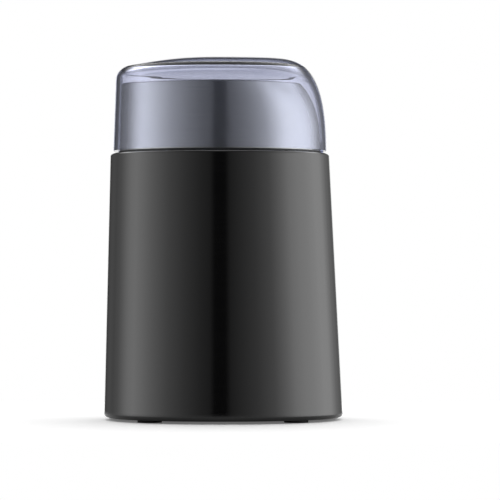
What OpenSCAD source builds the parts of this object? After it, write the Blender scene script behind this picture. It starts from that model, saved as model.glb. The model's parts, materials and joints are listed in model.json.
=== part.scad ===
// Electric spice grinder with a push-down lid.
// Origin: middle of the underside, +Z up, the lid's tongue and the switch at +X.
// Every length is in millimetres.

/* [Outline] */
// Length of the housing at its bottom edge, along X
base_length = 110; // [106:1:116]
// Depth of the housing at its bottom edge, along Y
base_depth = 87; // [85:1:92]
// Length of the housing at the shoulder
shoulder_length = 101; // [99:0.5:104]
// Depth of the housing at the shoulder
shoulder_depth = 81; // [80:0.5:84]
// How far the middle of the shoulder stands towards -X
shoulder_shift = 1.7; // [0:0.1:3]
// Height of the housing from its bottom edge to the shoulder
housing_height = 121; // [118:1:130]
// Power of the oval outline: 2 is an ellipse, more is squarer
roundness = 2.15; // [2.05:0.05:2.4]
// Number of points round each oval
sides = 52; // [40:4:64]

/* [Housing] */
// Wall of the housing
shell_wall = 2.4; // [2:0.1:2.5]
// Radius of the bottom edge
bottom_radius = 2; // [1:0.1:2.1]
// Radius of the edge at the shoulder
shoulder_radius = 1.2; // [0.6:0.1:1.3]
// Width of the housing's rim round the deck
rim_width = 1.5; // [1.4:0.05:1.7]
// Radius of the columns for the base screws
column_radius = 4; // [3.6:0.1:4.4]
// Thickness of the ears that carry the deck
ear_height = 3; // [2.5:0.1:4]

/* [Base] */
// Height of the feet below the housing
foot_height = 1.2; // [1:0.1:3]
// Radius of a foot
foot_radius = 5.5; // [4.5:0.1:6]
// Thickness of the bottom cover
cover_wall = 2.6; // [2.2:0.1:3.2]
// How far the cover sits up inside the housing
cover_recess = 0.6; // [0.4:0.1:1.2]
// Height of the rim that stiffens the cover
cover_rim = 6; // [4:0.5:8]
// Width of a vent slot
vent_width = 2.4; // [1.8:0.1:2.8]
// Length of a vent slot
vent_length = 16; // [12:0.5:17]
// Vent slots in each row
vent_count = 9; // [5:1:9]
// Bore of the inlet bush for the mains lead
inlet_bore = 7.2; // [6:0.1:8]

/* [Lid] */
// Ledge of the shoulder left bare round the lid
lid_ledge = 1.35; // [1.3:0.05:1.7]
// Gap between the lid and the shoulder, before the lid is pressed
lid_gap = 1.3; // [1.3:0.05:2]
// Height of the top of the lid above the shoulder
lid_height = 44.7; // [43:0.1:47]
// Wall of the lid
lid_wall = 2; // [1.8:0.1:2.2]
// Draft of the lid's wall over its height
lid_draft = 1.6; // [1:0.1:1.8]
// Rise of the crown from its edge to its middle
crown_rise = 4.9; // [3.5:0.1:5.5]
// Width of the lid's small corner at the left
left_corner = 9; // [6:0.5:10]
// Width of the lid's corner at front and back
side_corner = 6; // [4:0.5:8]
// How early the lid's right end starts to lean in: less is earlier
sweep_start = 2.4; // [2:0.1:3.5]
// How square the lid's right end turns into the crown
sweep_turn = 7; // [4:0.5:9]
// Width of the tongue that works the switch
tongue_width = 8; // [6:0.5:8.5]
// Thickness of the tongue
tongue_wall = 1.3; // [1:0.1:1.4]

/* [Neck and bowl] */
// Height of the neck above the shoulder
neck_height = 31.8; // [29.8:0.5:33.8]
// Gap between the lid and the neck
neck_gap = 0.9; // [0.9:0.05:1.6]
// How far the neck's right end leans in at the rim
neck_sweep = 8; // [6:0.5:9]
// Draft of the neck over its height
neck_draft = 0.9; // [0.5:0.1:1.2]
// Gap between the lid and the plinth that the neck stands on
plinth_gap = 0.4; // [0.3:0.05:0.5]
// Thickness of the steel sleeve round the neck
band_wall = 0.8; // [0.5:0.05:1]
// Wall of the deck's tower behind the sleeve
tower_wall = 1.6; // [1.4:0.1:1.8]
// Thickness of the bowl's sheet
bowl_wall = 0.8; // [0.6:0.05:1]
// Depth of the bowl from rim to floor
bowl_depth = 43.8; // [42.3:0.5:44.8]
// Radius between the bowl's wall and floor
bowl_corner = 10; // [8:0.5:11]
// Thickness of the gasket under the bowl
gasket_height = 1.2; // [0.8:0.1:1.6]

/* [Blade] */
// Tip to tip span of the blade
blade_span = 50; // [44:1:51]
// Thickness of the blade
blade_wall = 1.4; // [1:0.1:1.8]
// Height that the raised tip climbs
tip_lift = 6.5; // [3:0.5:8]
// Width of the blade at its middle
blade_width = 13; // [12:0.5:14]

/* [Deck] */
// Thickness of the deck's shoulder plate
deck_plate = 2.4; // [2:0.1:3]
// Wall of the pocket that holds the bowl
pocket_wall = 2; // [1.6:0.1:2.4]
// Thickness of the pocket's floor
pocket_floor = 3; // [2.5:0.1:3.5]
// Height of the posts that the motor hangs from
post_height = 8; // [7:0.5:9]

/* [Motor] */
// Length of the stator along X
stator_length = 58; // [56:1:60]
// Width of the stator along Y
stator_width = 50; // [48:1:54]
// Height of the stator and armature stacks
stack_height = 26; // [22:1:28]
// Radius of the armature
armature_radius = 15; // [14:0.1:15.2]
// Gap between armature and stator
air_gap = 0.5; // [0.3:0.05:0.7]
// Radius of the motor shaft
shaft_radius = 3; // [2.8:0.1:3.2]
// Slots in the armature, and bars in the commutator
slot_count = 12; // [8:2:14]
// Radius of the commutator
commutator_radius = 9; // [8:0.1:9.5]
// Height of the commutator
commutator_height = 11.5; // [10:0.5:11.5]
// Radius of the cooling fan
fan_radius = 20.5; // [17:0.5:21]
// Blades of the cooling fan
fan_blades = 9; // [7:1:13]
// Width of a carbon brush
brush_width = 6; // [5:0.1:6.4]
// Height of a carbon brush
brush_height = 5; // [4:0.1:5.4]
// Thickness of the bracket plates
bracket_wall = 3; // [2.5:0.1:3.5]

/* [Switch] */
// Travel of the lid and the plunger when the lid is pressed
press_travel = 1.5; // [1:0.1:1.5]
// Length of the snap switch along Y
switch_length = 12.8; // [12:0.2:13.4]
// Thickness of the snap switch along X
switch_wall = 5.8; // [5:0.1:6]
// Height of the snap switch
switch_height = 6.5; // [6:0.1:7.5]
// Free height of the plunger's spring as fitted
spring_length = 9; // [8:0.5:10]
// Thickness of the plunger's wire spring
spring_wire = 0.7; // [0.5:0.05:0.8]

/* [Hidden] */
$fn = 48;

// Clearances and small shared sizes
fit = 0.05;          // round parts that seat in each other
slip = 0.15;         // mouldings that slide together
running = 0.03;      // shaft in its bushes
loose = 0.25;        // screws through plain holes
lift = 0.3;          // faces that pass or turn beside each other
tiny = 0.01;         // overlap of shapes that are joined into one
thread_radius = 1.45;
head_radius = 2.8;
head_height = 2;
driver_slot = 0.6;

// Levels of the housing
shoulder_z = foot_height + housing_height;
cover_z = foot_height + cover_recess;
cover_top = cover_z + cover_wall;
plate_z = shoulder_z - deck_plate;

// Levels of the lid
lid_z = shoulder_z + lid_gap;
lid_top = shoulder_z + lid_height;
crown_z = lid_top - crown_rise;

// The lid's left and side corners: where they would be complete, and how high
corner_top = crown_z + 1.2;
left_start = corner_top - 6.1;
side_start = corner_top - 9;

// Levels of the neck and the bowl
plinth_z = lid_z - 0.2;
plinth_out = neck_gap - plinth_gap;
rim_z = shoulder_z + neck_height;
rim_wall = bowl_wall;
floor_z = rim_z - bowl_depth;
pocket_top = floor_z - bowl_wall - gasket_height;
pocket_z = pocket_top - pocket_floor;
bowl_slack = 0.5;
bowl_draft = 1.5;

// Every oval is foremost at this X, so the front's glint runs straight up
front_x = -shoulder_shift;

// The shaft stands under the middle of the bowl
axis_x = (bowl_reach(rim_z)[0] + bowl_reach(rim_z)[1]) / 2;

// Levels of the shaft's upper end
hub_radius = 9;
hub_top = floor_z + 1.4;
hub_z = pocket_z - 4;
seal_radius = 6;
spacer_z = hub_top + 0.3;
spacer_height = 1.3;
blade_z = spacer_z + spacer_height;
nut_height = 4.4;
stud_radius = shaft_radius - 0.5;

// Levels of the motor, from the posts down
damper_pad = 2;
upper_z = pocket_z - post_height - damper_pad - bracket_wall;
fan_height = 7;
fan_z = upper_z - 4 - fan_height;
turn_height = 6;
stator_top = fan_z - 2.5 - turn_height;
stator_z = stator_top - stack_height;
commutator_top = stator_z - turn_height;
commutator_z = commutator_top - commutator_height;
lower_z = commutator_z - 8.5;
bush_radius = 5;
bush_height = 8;
bearing_radius = 7.5;
leg_length = 6;
leg_width = 10;
bolt_x = stator_length / 2 - 3.5;
bolt_radius = 1.6;
hanger_x = 26;
hanger_y = 16;
winding_radius = armature_radius - 1.2;
coil_inner = armature_radius + air_gap + 2.5;
coil_outer = coil_inner + 5;
coil_start = 24;
brush_z = commutator_z + commutator_height / 2;
brush_back = 21;
holder_back = 27;

// Places of the switch parts
tongue_x = lid_reach(shoulder_z, lid_wall)[1] - 0.2;
tongue_z = plate_z - 2.4;
pusher_radius = 2.9;
pusher_x = tongue_x - 2;
guide_top = tongue_z - 6.2 - spring_length;
guide_height = 2;
stem_radius = 1.5;
stem_z = guide_top - guide_height - 3;
switch_top = stem_z - 2.7;
switch_z = switch_top - switch_height;
shelf_height = 2;
button_radius = 1.2;
pin_pitch = 4.6;
web_wall = 1.6;
tab_x = pusher_x - 2.4;
tab_y = 11;
tab_radius = 2.5;
tab_height = 3;
tab_screw = 1.1;
web_x = tab_x - 3.4;
tab_drop = 4.6;

// ---------------------------------------------------------------- outlines

function blend(a, b, t) = a + (b - a) * t;

function signed_power(v, p) = sign(v) * pow(abs(v), p);

// Quarter-round inset: 0 below start, and radius at the level top
function round_in(z, start, top, radius, power = 2) =
    let (t = min(1, max(0, (z - start) / (top - start))))
    radius * (1 - pow(1 - pow(t, power), 1 / power));

// Level oval from reach = [lowest X, highest X, half depth]: a left and a right
// half oval that meet at the X of its foremost and rearmost points
function oval(reach, z, front = front_x) =
    [for (i = [0 : sides - 1])
        let (
            a = 360 * i / sides,
            half = cos(a) > 0 ? reach[1] - front : front - reach[0]
        )
        [front + half * signed_power(cos(a), 2 / roundness),
         reach[2] * signed_power(sin(a), 2 / roundness), z]];

function inset(reach, d) = [reach[0] + d, reach[1] - d, reach[2] - d];

// Outer face of the housing at a level
function body_reach(z) =
    let (
        t = (z - foot_height) / housing_height,
        mid = -shoulder_shift * t,
        half = blend(base_length, shoulder_length, t) / 2
    )
    [mid - half, mid + half, blend(base_depth, shoulder_depth, t) / 2];

// Right end of the lid: one sweep from the shoulder to the middle of the crown
function lid_right(z, d) =
    let (
        t = min(1, max(0, (z - shoulder_z) / (lid_height - d))),
        foot = body_reach(shoulder_z)[1] - lid_ledge - d
    )
    axis_x + (foot - axis_x) * pow(1 - pow(t, sweep_start), 1 / sweep_turn);

function lid_reach(z, d = 0) =
    let (
        foot = inset(body_reach(shoulder_z), lid_ledge + d),
        lean = lid_draft * (z - shoulder_z) / lid_height
    )
    [foot[0] + lean + round_in(z, left_start, corner_top - d, left_corner - d / 2),
     lid_right(z, d),
     foot[2] - lean - round_in(z, side_start, corner_top - d, side_corner - d / 2)];

// Crown of the lid: left, front and back close in by s while the level climbs
function crown_ring(s, d) =
    let (
        edge = lid_reach(crown_z - d, d),
        z = lid_top - d - crown_rise * s * s
    )
    oval([axis_x - (axis_x - edge[0]) * s, lid_right(z, d), edge[2] * s], z, blend(axis_x, front_x, s));

// Neck: drafted like the lid, and its right end leans in towards the rim
function neck_reach(z, d = 0) =
    let (
        t = max(0, (z - shoulder_z) / neck_height),
        foot = inset(body_reach(shoulder_z), lid_ledge + lid_wall + neck_gap + d)
    )
    [foot[0] + neck_draft * t, foot[1] - neck_sweep * pow(t, 3), foot[2] - neck_draft * t];

// Inner face of the bowl: drafted, with a round corner at the floor
function bowl_reach(z, d = 0) =
    let (
        mouth = neck_reach(rim_z, band_wall + tower_wall + bowl_wall + 2 * fit),
        h = z - floor_z,
        lean = bowl_draft * (1 - h / bowl_depth),
        corner = round_in(-h, -bowl_corner, d, bowl_corner + d)
    )
    inset(mouth, lean + corner - d);

// ------------------------------------------------------------- solid makers

// Walls between neighbouring rings; the last ring meets the first
module ring_loop(rings) {
    n = len(rings[0]);
    m = len(rings);
    polyhedron(
        points = [for (r = rings) each r],
        faces = [
            for (j = [0 : m - 1], i = [0 : n - 1])
                let (k = (j + 1) % m, s = (i + 1) % n)
                each [[j * n + i, k * n + s, j * n + s], [j * n + i, k * n + i, k * n + s]]
        ],
        convexity = 8
    );
}

// Walls between neighbouring rings, with the first and last ring closed
module ring_stack(rings) {
    n = len(rings[0]);
    m = len(rings);
    polyhedron(
        points = [for (r = rings) each r],
        faces = [
            [for (i = [0 : n - 1]) i],
            for (j = [0 : m - 2], i = [0 : n - 1])
                let (k = j + 1, s = (i + 1) % n)
                each [[j * n + i, k * n + s, j * n + s], [j * n + i, k * n + i, k * n + s]],
            [for (i = [n - 1 : -1 : 0]) (m - 1) * n + i]
        ],
        convexity = 8
    );
}

module tube(outer, bore, height) {
    difference() {
        cylinder(r = outer, h = height);
        translate([0, 0, -1])
            cylinder(r = bore, h = height + 2);
    }
}

// Copies at the four places (+-x, +-y)
module at_corners(x, y) {
    for (sx = [-1, 1], sy = [-1, 1])
        translate([sx * x, sy * y, 0])
            children();
}

module on_axis(z) {
    translate([axis_x, 0, z])
        children();
}

// Wire coil round Z, standing on z = 0
module coil_spring(radius, wire, length, turns) {
    steps = 12 * turns;
    edge = 6;
    ring_stack([
        for (k = [steps : -1 : 0])
            let (a = 360 * turns * k / steps, lift = wire / 2 + (length - wire) * k / steps)
            [for (i = [0 : edge - 1])
                let (b = 360 * i / edge, r = radius + wire / 2 * cos(b))
                [r * cos(a), r * sin(a), lift + wire / 2 * sin(b)]]
    ]);
}

// Flat-headed screw that points up, its head's underside at z = 0
module screw(shank, length, head = head_radius) {
    difference() {
        union() {
            translate([0, 0, -head_height])
                cylinder(r = head, h = head_height);
            cylinder(r = shank, h = length);
        }
        translate([-head, -driver_slot / 2, -head_height - 1])
            cube([2 * head, driver_slot, 1.7]);
    }
}

// Part of a round bar of square section, from angle a to angle b
module arc_bar(inner, outer, height, a, b) {
    rotate([0, 0, a])
        rotate_extrude(angle = b - a)
            translate([inner, 0])
                square([outer - inner, height]);
}

// Rounded rectangle built from exact arcs
module rounded_square(x, y, r) {
    square([x - 2 * r, y], center = true);
    square([x, y - 2 * r], center = true);
    for (sx = [-1, 1], sy = [-1, 1])
        translate([sx * (x / 2 - r), sy * (y / 2 - r)])
            circle(r = r);
}

// ------------------------------------------------------------------ housing

screw_x = base_length / 2 - shell_wall - 10;
screw_y = 0.195 * base_depth;
column_height = 26;
column_web = 1.6;
cover_boss = 5.4;
sunk = 0.4;
base_screw_length = 14;
deck_screw_length = 12;
ear_x = 0.334 * shoulder_length;
ear_y = 0.305 * shoulder_depth;
ear_arm = 6;
ear_z = plate_z - 16.6;
ear_radius = 3.7;
gland_z = foot_height + 13;
gland_radius = inlet_bore / 2 + 1.9;
gland_flange = gland_radius + 2.4;
gland_seat = base_depth / 2 - 1.4;

// Level oval cut or filled at a ring of the housing
function body_ring(z, d) = oval(inset(body_reach(z), d), z);

module shell_skin() {
    arc = [for (a = [0 : 30 : 90]) a];
    ring_loop([
        for (a = arc)
            body_ring(foot_height + bottom_radius * (1 - cos(a)), bottom_radius * (1 - sin(a))),
        for (a = arc)
            body_ring(shoulder_z - shoulder_radius * (1 - sin(a)), shoulder_radius * (1 - cos(a))),
        body_ring(shoulder_z, rim_width),
        body_ring(plate_z, rim_width),
        body_ring(plate_z, shell_wall),
        body_ring(foot_height + 30, shell_wall),
        body_ring(foot_height, shell_wall)
    ]);
}

// Solid inside of the housing, used to trim what hangs on its wall
module shell_core() {
    ring_stack([body_ring(foot_height, shell_wall / 2), body_ring(plate_z, shell_wall / 2)]);
}

module wall_columns() {
    at_corners(screw_x, screw_y) {
        translate([0, 0, cover_z + cover_boss])
            cylinder(r = column_radius, h = column_height);
    }
    for (sx = [-1, 1], sy = [-1, 1])
        translate([sx * (screw_x + 4), sy * screw_y, cover_z + cover_boss + column_height / 2])
            cube([8, column_web, column_height], center = true);
}

module wall_ears() {
    for (sx = [-1, 1], sy = [-1, 1])
        translate([ear_mid(sx), sy * ear_y, ear_z]) {
            cylinder(r = ear_radius, h = ear_height);
            rotate([0, 0, atan2(sy, sx)])
                translate([0, -ear_arm / 2, 0])
                    cube([9, ear_arm, ear_height]);
        }
}

function ear_mid(side) = body_reach(ear_z)[0] / 2 + body_reach(ear_z)[1] / 2 + side * ear_x;

module housing() {
    color("#1a1b1d")
    difference() {
        union() {
            shell_skin();
            intersection() {
                union() {
                    wall_columns();
                    wall_ears();
                }
                shell_core();
            }
        }
        at_corners(screw_x, screw_y)
            translate([0, 0, foot_height])
                cylinder(r = thread_radius + fit, h = column_height - 4);
        for (sx = [-1, 1], sy = [-1, 1])
            translate([ear_mid(sx), sy * ear_y, ear_z - 1])
                cylinder(r = thread_radius + loose, h = ear_height + 2);
        translate([0, gland_seat, gland_z]) {
            rotate([90, 0, 0])
                cylinder(r = gland_radius + fit, h = 9);
            rotate([-90, 0, 0])
                cylinder(r = gland_flange + fit, h = 4);
        }
    }
}

// --------------------------------------------------------------------- base

function cover_ring(z, d) = oval(inset(body_reach(z), shell_wall + loose + d), z);

module vent_row(y) {
    pitch = 2 * vent_width;
    for (i = [0 : vent_count - 1])
        translate([(i - (vent_count - 1) / 2) * pitch, y, cover_z - 1])
            linear_extrude(cover_wall + 2) {
                square([vent_width, vent_length - vent_width], center = true);
                for (s = [-1, 1])
                    translate([0, s * (vent_length - vent_width) / 2])
                        circle(r = vent_width / 2);
            }
}

foot_x = 0.3 * base_length;
foot_y = 0.29 * base_depth;
barb_radius = 2;
bulb_radius = barb_radius + 0.7;
cover_rim_wall = 1.8;

module base_cover() {
    color("#242527")
    difference() {
        union() {
            ring_stack([
                cover_ring(cover_z, 0),
                cover_ring(cover_top + cover_rim, 0),
                cover_ring(cover_top + cover_rim, cover_rim_wall),
                cover_ring(cover_top, cover_rim_wall)
            ]);
            at_corners(screw_x, screw_y)
                translate([0, 0, cover_z])
                    cylinder(r = column_radius, h = cover_boss);
        }
        at_corners(screw_x, screw_y) {
            translate([0, 0, cover_z - 1])
                cylinder(r = thread_radius + loose, h = cover_boss + 2);
            translate([0, 0, cover_z - 1])
                cylinder(r = head_radius + lift, h = sunk + head_height + 1);
        }
        at_corners(foot_x, foot_y)
            translate([0, 0, cover_z - 1])
                cylinder(r = barb_radius + fit, h = cover_wall + 2);
        for (s = [-1, 1])
            vent_row(s * (vent_length / 2 + 2));
        // Room in the rim for the inlet bush
        translate([-gland_flange - 1, base_depth / 2 - 14, cover_top])
            cube([2 * gland_flange + 2, 14, cover_rim + 1]);
        // Room in the rim for the wall's columns
        for (sx = [-1, 1], sy = [-1, 1])
            translate([sx * (screw_x + 6), sy * screw_y, cover_z + cover_boss + 5])
                cube([14, 2 * column_radius + 1, 10], center = true);
    }
}

module base_screws() {
    color("#8c8f93")
    at_corners(screw_x, screw_y)
        translate([0, 0, cover_z + sunk + head_height])
            screw(thread_radius, base_screw_length);
}

module feet() {
    color("#101011")
    at_corners(foot_x, foot_y) {
        cylinder(r = foot_radius, h = cover_z);
        cylinder(r = barb_radius, h = cover_top + 0.8);
        translate([0, 0, cover_top])
            cylinder(r = bulb_radius, h = 1.2);
    }
}

// Inlet bush: a flange in its seat outside, a barrel through the wall, and a
// lip that snaps behind the wall
module cord_gland() {
    lip_depth = gland_seat - body_reach(gland_z)[2] + shell_wall + 0.5;
    color("#18181a")
    translate([0, gland_seat, gland_z])
        difference() {
            union() {
                rotate([-90, 0, 0])
                    cylinder(r = gland_flange, h = 0.9);
                rotate([90, 0, 0]) {
                    cylinder(r = gland_radius, h = 8);
                    translate([0, 0, lip_depth])
                        cylinder(r = gland_radius + 0.8, h = 1.2);
                }
            }
            rotate([90, 0, 0])
                translate([0, 0, -3])
                    cylinder(r = inlet_bore / 2, h = 14);
        }
}

// --------------------------------------------------------------------- deck

tower_levels = [0, 0.3, 0.55, 0.75, 0.9, 1];
function tower_z(t) = blend(plinth_z, rim_z - rim_wall, t);
function neck_ring(z, d) = oval(neck_reach(z, d), z);
function bowl_ring(z, d) = oval(bowl_reach(z, d), z);
corner_levels = [1, 0.6, 0.3, 0.1, 0];

deck_boss = 2.5;
gusset_wall = 1.4;
gusset_height = 7;
gusset_y = 9;
gusset_x = [axis_x - 12, axis_x + 12];
gusset_end = shoulder_depth / 2 - shell_wall - 3.4;

// Rings of a cup round the bowl, d outside its inner face, from level z0
function cup_up(z0, d) = [for (t = [0, 0.1, 0.3, 0.6, 1])
    bowl_ring(blend(z0, floor_z + bowl_corner, t), d)];

function cup_down(z0, d) = [for (t = corner_levels)
    bowl_ring(blend(z0, floor_z + bowl_corner, t), d)];

module deck_skin() {
    pocket_in = bowl_wall + bowl_slack;
    pocket_out = pocket_in + pocket_wall;
    edge = inset(body_reach(shoulder_z), rim_width + slip);
    ring_stack([
        each deck_cup_outer(pocket_out),
        bowl_ring(plate_z, pocket_out),
        oval(edge, plate_z),
        oval(edge, shoulder_z),
        neck_ring(shoulder_z, -plinth_out),
        neck_ring(plinth_z, -plinth_out),
        for (t = tower_levels)
            neck_ring(tower_z(t), band_wall + fit),
        for (i = [len(tower_levels) - 1 : -1 : 0])
            neck_ring(tower_z(tower_levels[i]), band_wall + fit + tower_wall),
        bowl_ring(shoulder_z, pocket_in),
        each deck_cup_inner(pocket_in)
    ]);
}

// The cup's outer and inner corner, each from its own floor level
function deck_cup_outer(d) = [for (t = [0, 0.1, 0.3, 0.6, 1])
    let (z = blend(pocket_z, floor_z + bowl_corner, t))
    oval(inset(bowl_reach(floor_z + bowl_corner, d), round_in(-t, -1, 0, bowl_corner)), z)];

function deck_cup_inner(d) = [for (t = corner_levels)
    let (z = blend(pocket_top, floor_z + bowl_corner, t))
    oval(inset(bowl_reach(floor_z + bowl_corner, d), round_in(-t, -1, 0, bowl_corner)), z)];

// Thin ribs that tie the pocket's wall to the shoulder plate
module deck_gussets() {
    pocket = bowl_reach(plate_z, bowl_wall + bowl_slack + pocket_wall / 2);
    left = body_reach(plate_z)[0] + shell_wall + 2.4;
    inner = pocket[2] * 0.965;
    for (s = [-1, 1]) {
        translate([left, s * gusset_y - gusset_wall / 2, plate_z - gusset_height])
            cube([pocket[0] - left + 1, gusset_wall, gusset_height + 1]);
        for (x = gusset_x)
            translate([x - gusset_wall / 2, min(s * gusset_end, s * inner), plate_z - gusset_height])
                cube([gusset_wall, gusset_end - inner, gusset_height + 1]);
    }
}

module deck() {
    color("#1f2022")
    difference() {
        union() {
            deck_skin();
            on_axis(hub_z)
                cylinder(r = hub_radius, h = hub_top - hub_z);
            // Posts that the motor hangs from
            on_axis(pocket_z - post_height)
                at_corners(hanger_x, hanger_y)
                    cylinder(r = 4.5, h = post_height + pocket_floor - 0.5);
            // Bosses over the housing's ears
            for (sx = [-1, 1], sy = [-1, 1])
                translate([ear_mid(sx), sy * ear_y, ear_z + ear_height])
                    cylinder(r = deck_boss, h = plate_z - ear_z - ear_height + 1);
            deck_gussets();
            // Bosses for the switch bracket
            for (s = [-1, 1])
                translate([tab_x, s * tab_y, plate_z - tab_drop])
                    cylinder(r = tab_radius, h = tab_drop + 1);
        }
        on_axis(hub_z - 1)
            cylinder(r = shaft_radius + 0.5, h = 60);
        on_axis(pocket_z)
            cylinder(r = seal_radius + fit, h = 60);
        on_axis(pocket_z - post_height - 1)
            at_corners(hanger_x, hanger_y)
                cylinder(r = thread_radius + fit, h = 9);
        for (sx = [-1, 1], sy = [-1, 1])
            translate([ear_mid(sx), sy * ear_y, ear_z])
                cylinder(r = thread_radius + fit, h = 14);
        for (s = [-1, 1])
            translate([tab_x, s * tab_y, plate_z - tab_drop - 1])
                cylinder(r = tab_screw + fit, h = tab_drop + 2.2);
        // Slot for the lid's tongue, open towards the housing's rim
        translate([tongue_x - tongue_wall / 2 - lift, -tongue_width / 2 - lift, plate_z - 1])
            cube([6, tongue_width + 2 * lift, plinth_z - plate_z + 2]);
    }
}

module deck_screws() {
    color("#8c8f93")
    for (sx = [-1, 1], sy = [-1, 1])
        translate([ear_mid(sx), sy * ear_y, ear_z])
            screw(thread_radius, deck_screw_length);
}

module neck_band() {
    color("#b9bcc2")
    ring_loop([
        for (t = tower_levels)
            neck_ring(tower_z(t), 0),
        for (i = [len(tower_levels) - 1 : -1 : 0])
            neck_ring(tower_z(tower_levels[i]), band_wall)
    ]);
}

// --------------------------------------------------------------------- bowl

module bowl() {
    lip = neck_reach(rim_z);
    color("#c3c5c9")
    difference() {
        ring_stack([
            each cup_up(floor_z - bowl_wall, bowl_wall),
            bowl_ring(rim_z - rim_wall, bowl_wall),
            oval(lip, rim_z - rim_wall),
            oval(lip, rim_z - rim_wall / 3),
            oval(inset(lip, 0.3), rim_z),
            bowl_ring(rim_z, 0.4),
            bowl_ring(rim_z - 0.5, 0),
            each cup_down(floor_z, 0)
        ]);
        on_axis(floor_z - 5)
            cylinder(r = hub_radius + slip, h = 10);
    }
}

module bowl_gasket() {
    color("#2b2b2c")
    on_axis(pocket_top)
        tube(hub_radius + 4.5, hub_radius + slip, gasket_height);
}

module shaft_seal() {
    color("#2b2b2c")
    on_axis(pocket_z)
        difference() {
            cylinder(r = seal_radius, h = hub_top - pocket_z - 0.6);
            translate([0, 0, -1])
                cylinder(r = shaft_radius + running, h = 20);
            translate([0, 0, 1.6])
                cylinder(r = seal_radius - 1.4, h = 2.4);
        }
}

// -------------------------------------------------------------------- blade

// Rings from tip to tip along X: the width tapers, the edges are bevelled,
// one tip climbs by tip_lift and the other by an eighth of it
function blade_ring(u) =
    let (
        t = abs(u),
        bend = pow(max(0, t - 0.3) / 0.7, 1.6),
        half = blend(blade_width / 2, blade_width / 3.2, pow(t, 1.5)),
        roll = 14 * bend * sign(u),
        lift = blade_wall / 2 + bend * (u > 0 ? tip_lift : tip_lift / 8),
        bevel = half - 1.6
    )
    [for (p = [
        [-half, 0], [-bevel, -blade_wall / 2], [bevel, -blade_wall / 2],
        [half, 0], [bevel, blade_wall / 2], [-bevel, blade_wall / 2]
    ])
        [u * blade_span / 2,
         p[0] * cos(roll) - p[1] * sin(roll),
         lift + p[0] * sin(roll) + p[1] * cos(roll)]];

module blade() {
    steps = 9;
    color("#c9cbcf")
    on_axis(blade_z)
        rotate([0, 0, 28])
            difference() {
                ring_stack([for (k = [-steps : steps]) blade_ring(k / steps)]);
                translate([0, 0, -1])
                    cylinder(r = stud_radius + fit, h = blade_wall + 2);
            }
}

module blade_spacer() {
    color("#c9cbcf")
    on_axis(spacer_z)
        tube(stud_radius + 2, stud_radius + fit, spacer_height);
}

module blade_nut() {
    flat = 4.6;
    color("#c9cbcf")
    on_axis(blade_z + blade_wall)
        difference() {
            union() {
                cylinder(r = flat, h = nut_height - 1.6, $fn = 6);
                cylinder(r = flat * cos(30) - 0.2, h = nut_height - 0.6);
            }
            translate([0, 0, -1])
                cylinder(r = stud_radius + fit, h = nut_height - 0.8);
        }
}

// -------------------------------------------------------------------- motor

module motor_shaft() {
    bottom = lower_z - 1.5;
    step = spacer_z;
    color("#9da1a6")
    on_axis(0) {
        translate([0, 0, bottom])
            cylinder(r = shaft_radius, h = step - bottom);
        translate([0, 0, step - tiny])
            cylinder(r = stud_radius, h = blade_z + blade_wall + nut_height - 2.4 - step);
    }
}

module armature_core() {
    slot_radius = 1.3;
    slot_place = armature_radius - 2.6;
    color("#6c6e72")
    on_axis(stator_z)
        linear_extrude(stack_height)
            difference() {
                circle(r = armature_radius);
                circle(r = shaft_radius + fit);
                for (i = [0 : slot_count - 1])
                    rotate([0, 0, 360 * i / slot_count]) {
                        translate([slot_place, 0])
                            circle(r = slot_radius);
                        translate([slot_place, -0.5])
                            square([slot_radius + 3, 1]);
                    }
            }
}

module armature_windings() {
    wire_place = armature_radius - 2.6;
    half_turn = turn_height - 0.6;
    color("#a5602e")
    on_axis(0) {
        for (i = [0 : slot_count - 1])
            rotate([0, 0, 360 * i / slot_count])
                translate([wire_place, 0, stator_z - 1])
                    cylinder(r = 1.25, h = stack_height + 2);
        for (z = [stator_z - half_turn, stator_top])
            translate([0, 0, z])
                rotate_extrude()
                    polygon([
                        [shaft_radius + 1, 0], [winding_radius - 1.2, 0],
                        [winding_radius, 1.2], [winding_radius, half_turn - 1.2],
                        [winding_radius - 1.2, half_turn], [shaft_radius + 1, half_turn]
                    ]);
    }
}

module commutator() {
    riser = 2;
    color("#b8733d")
    on_axis(commutator_z)
        difference() {
            union() {
                cylinder(r = commutator_radius, h = commutator_height - riser);
                translate([0, 0, commutator_height - riser - tiny])
                    cylinder(r = commutator_radius + 1.5, h = riser);
            }
            translate([0, 0, -1])
                cylinder(r = shaft_radius + fit, h = commutator_height + 2);
            for (i = [0 : slot_count - 1])
                rotate([0, 0, 360 * (i + 0.5) / slot_count])
                    translate([commutator_radius - 1.2, -0.3, -1])
                        cube([4, 0.6, commutator_height + 2]);
        }
}

module cooling_fan() {
    hub = 6;
    plate = 1.4;
    color("#d9d5c8")
    on_axis(fan_z)
        difference() {
            union() {
                cylinder(r = hub, h = fan_height);
                cylinder(r = fan_radius, h = plate);
                for (i = [0 : fan_blades - 1])
                    rotate([0, 0, 360 * i / fan_blades])
                        translate([hub - 1, -0.6, 0])
                            cube([fan_radius - hub, 1.2, fan_height - 0.5]);
            }
            translate([0, 0, -1])
                cylinder(r = shaft_radius + fit, h = fan_height + 2);
        }
}

module stator_profile() {
    bore = armature_radius + air_gap;
    difference() {
        rounded_square(stator_length, stator_width, 10);
        circle(r = bore);
        for (s = [-1, 1])
            translate([s * bolt_x, 0])
                circle(r = bolt_radius + 0.2);
        // Windows for the coils, beside each pole
        for (start = [22, 138, 202, 318])
            intersection() {
                difference() {
                    circle(r = coil_outer + 0.4);
                    circle(r = coil_inner - 0.4);
                }
                polygon([
                    [0, 0],
                    [60 * cos(start), 60 * sin(start)],
                    [60 * cos(start + 20), 60 * sin(start + 20)]
                ]);
            }
    }
}

module stator_core() {
    color("#77797d")
    on_axis(stator_z)
        linear_extrude(stack_height)
            stator_profile();
}

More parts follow.
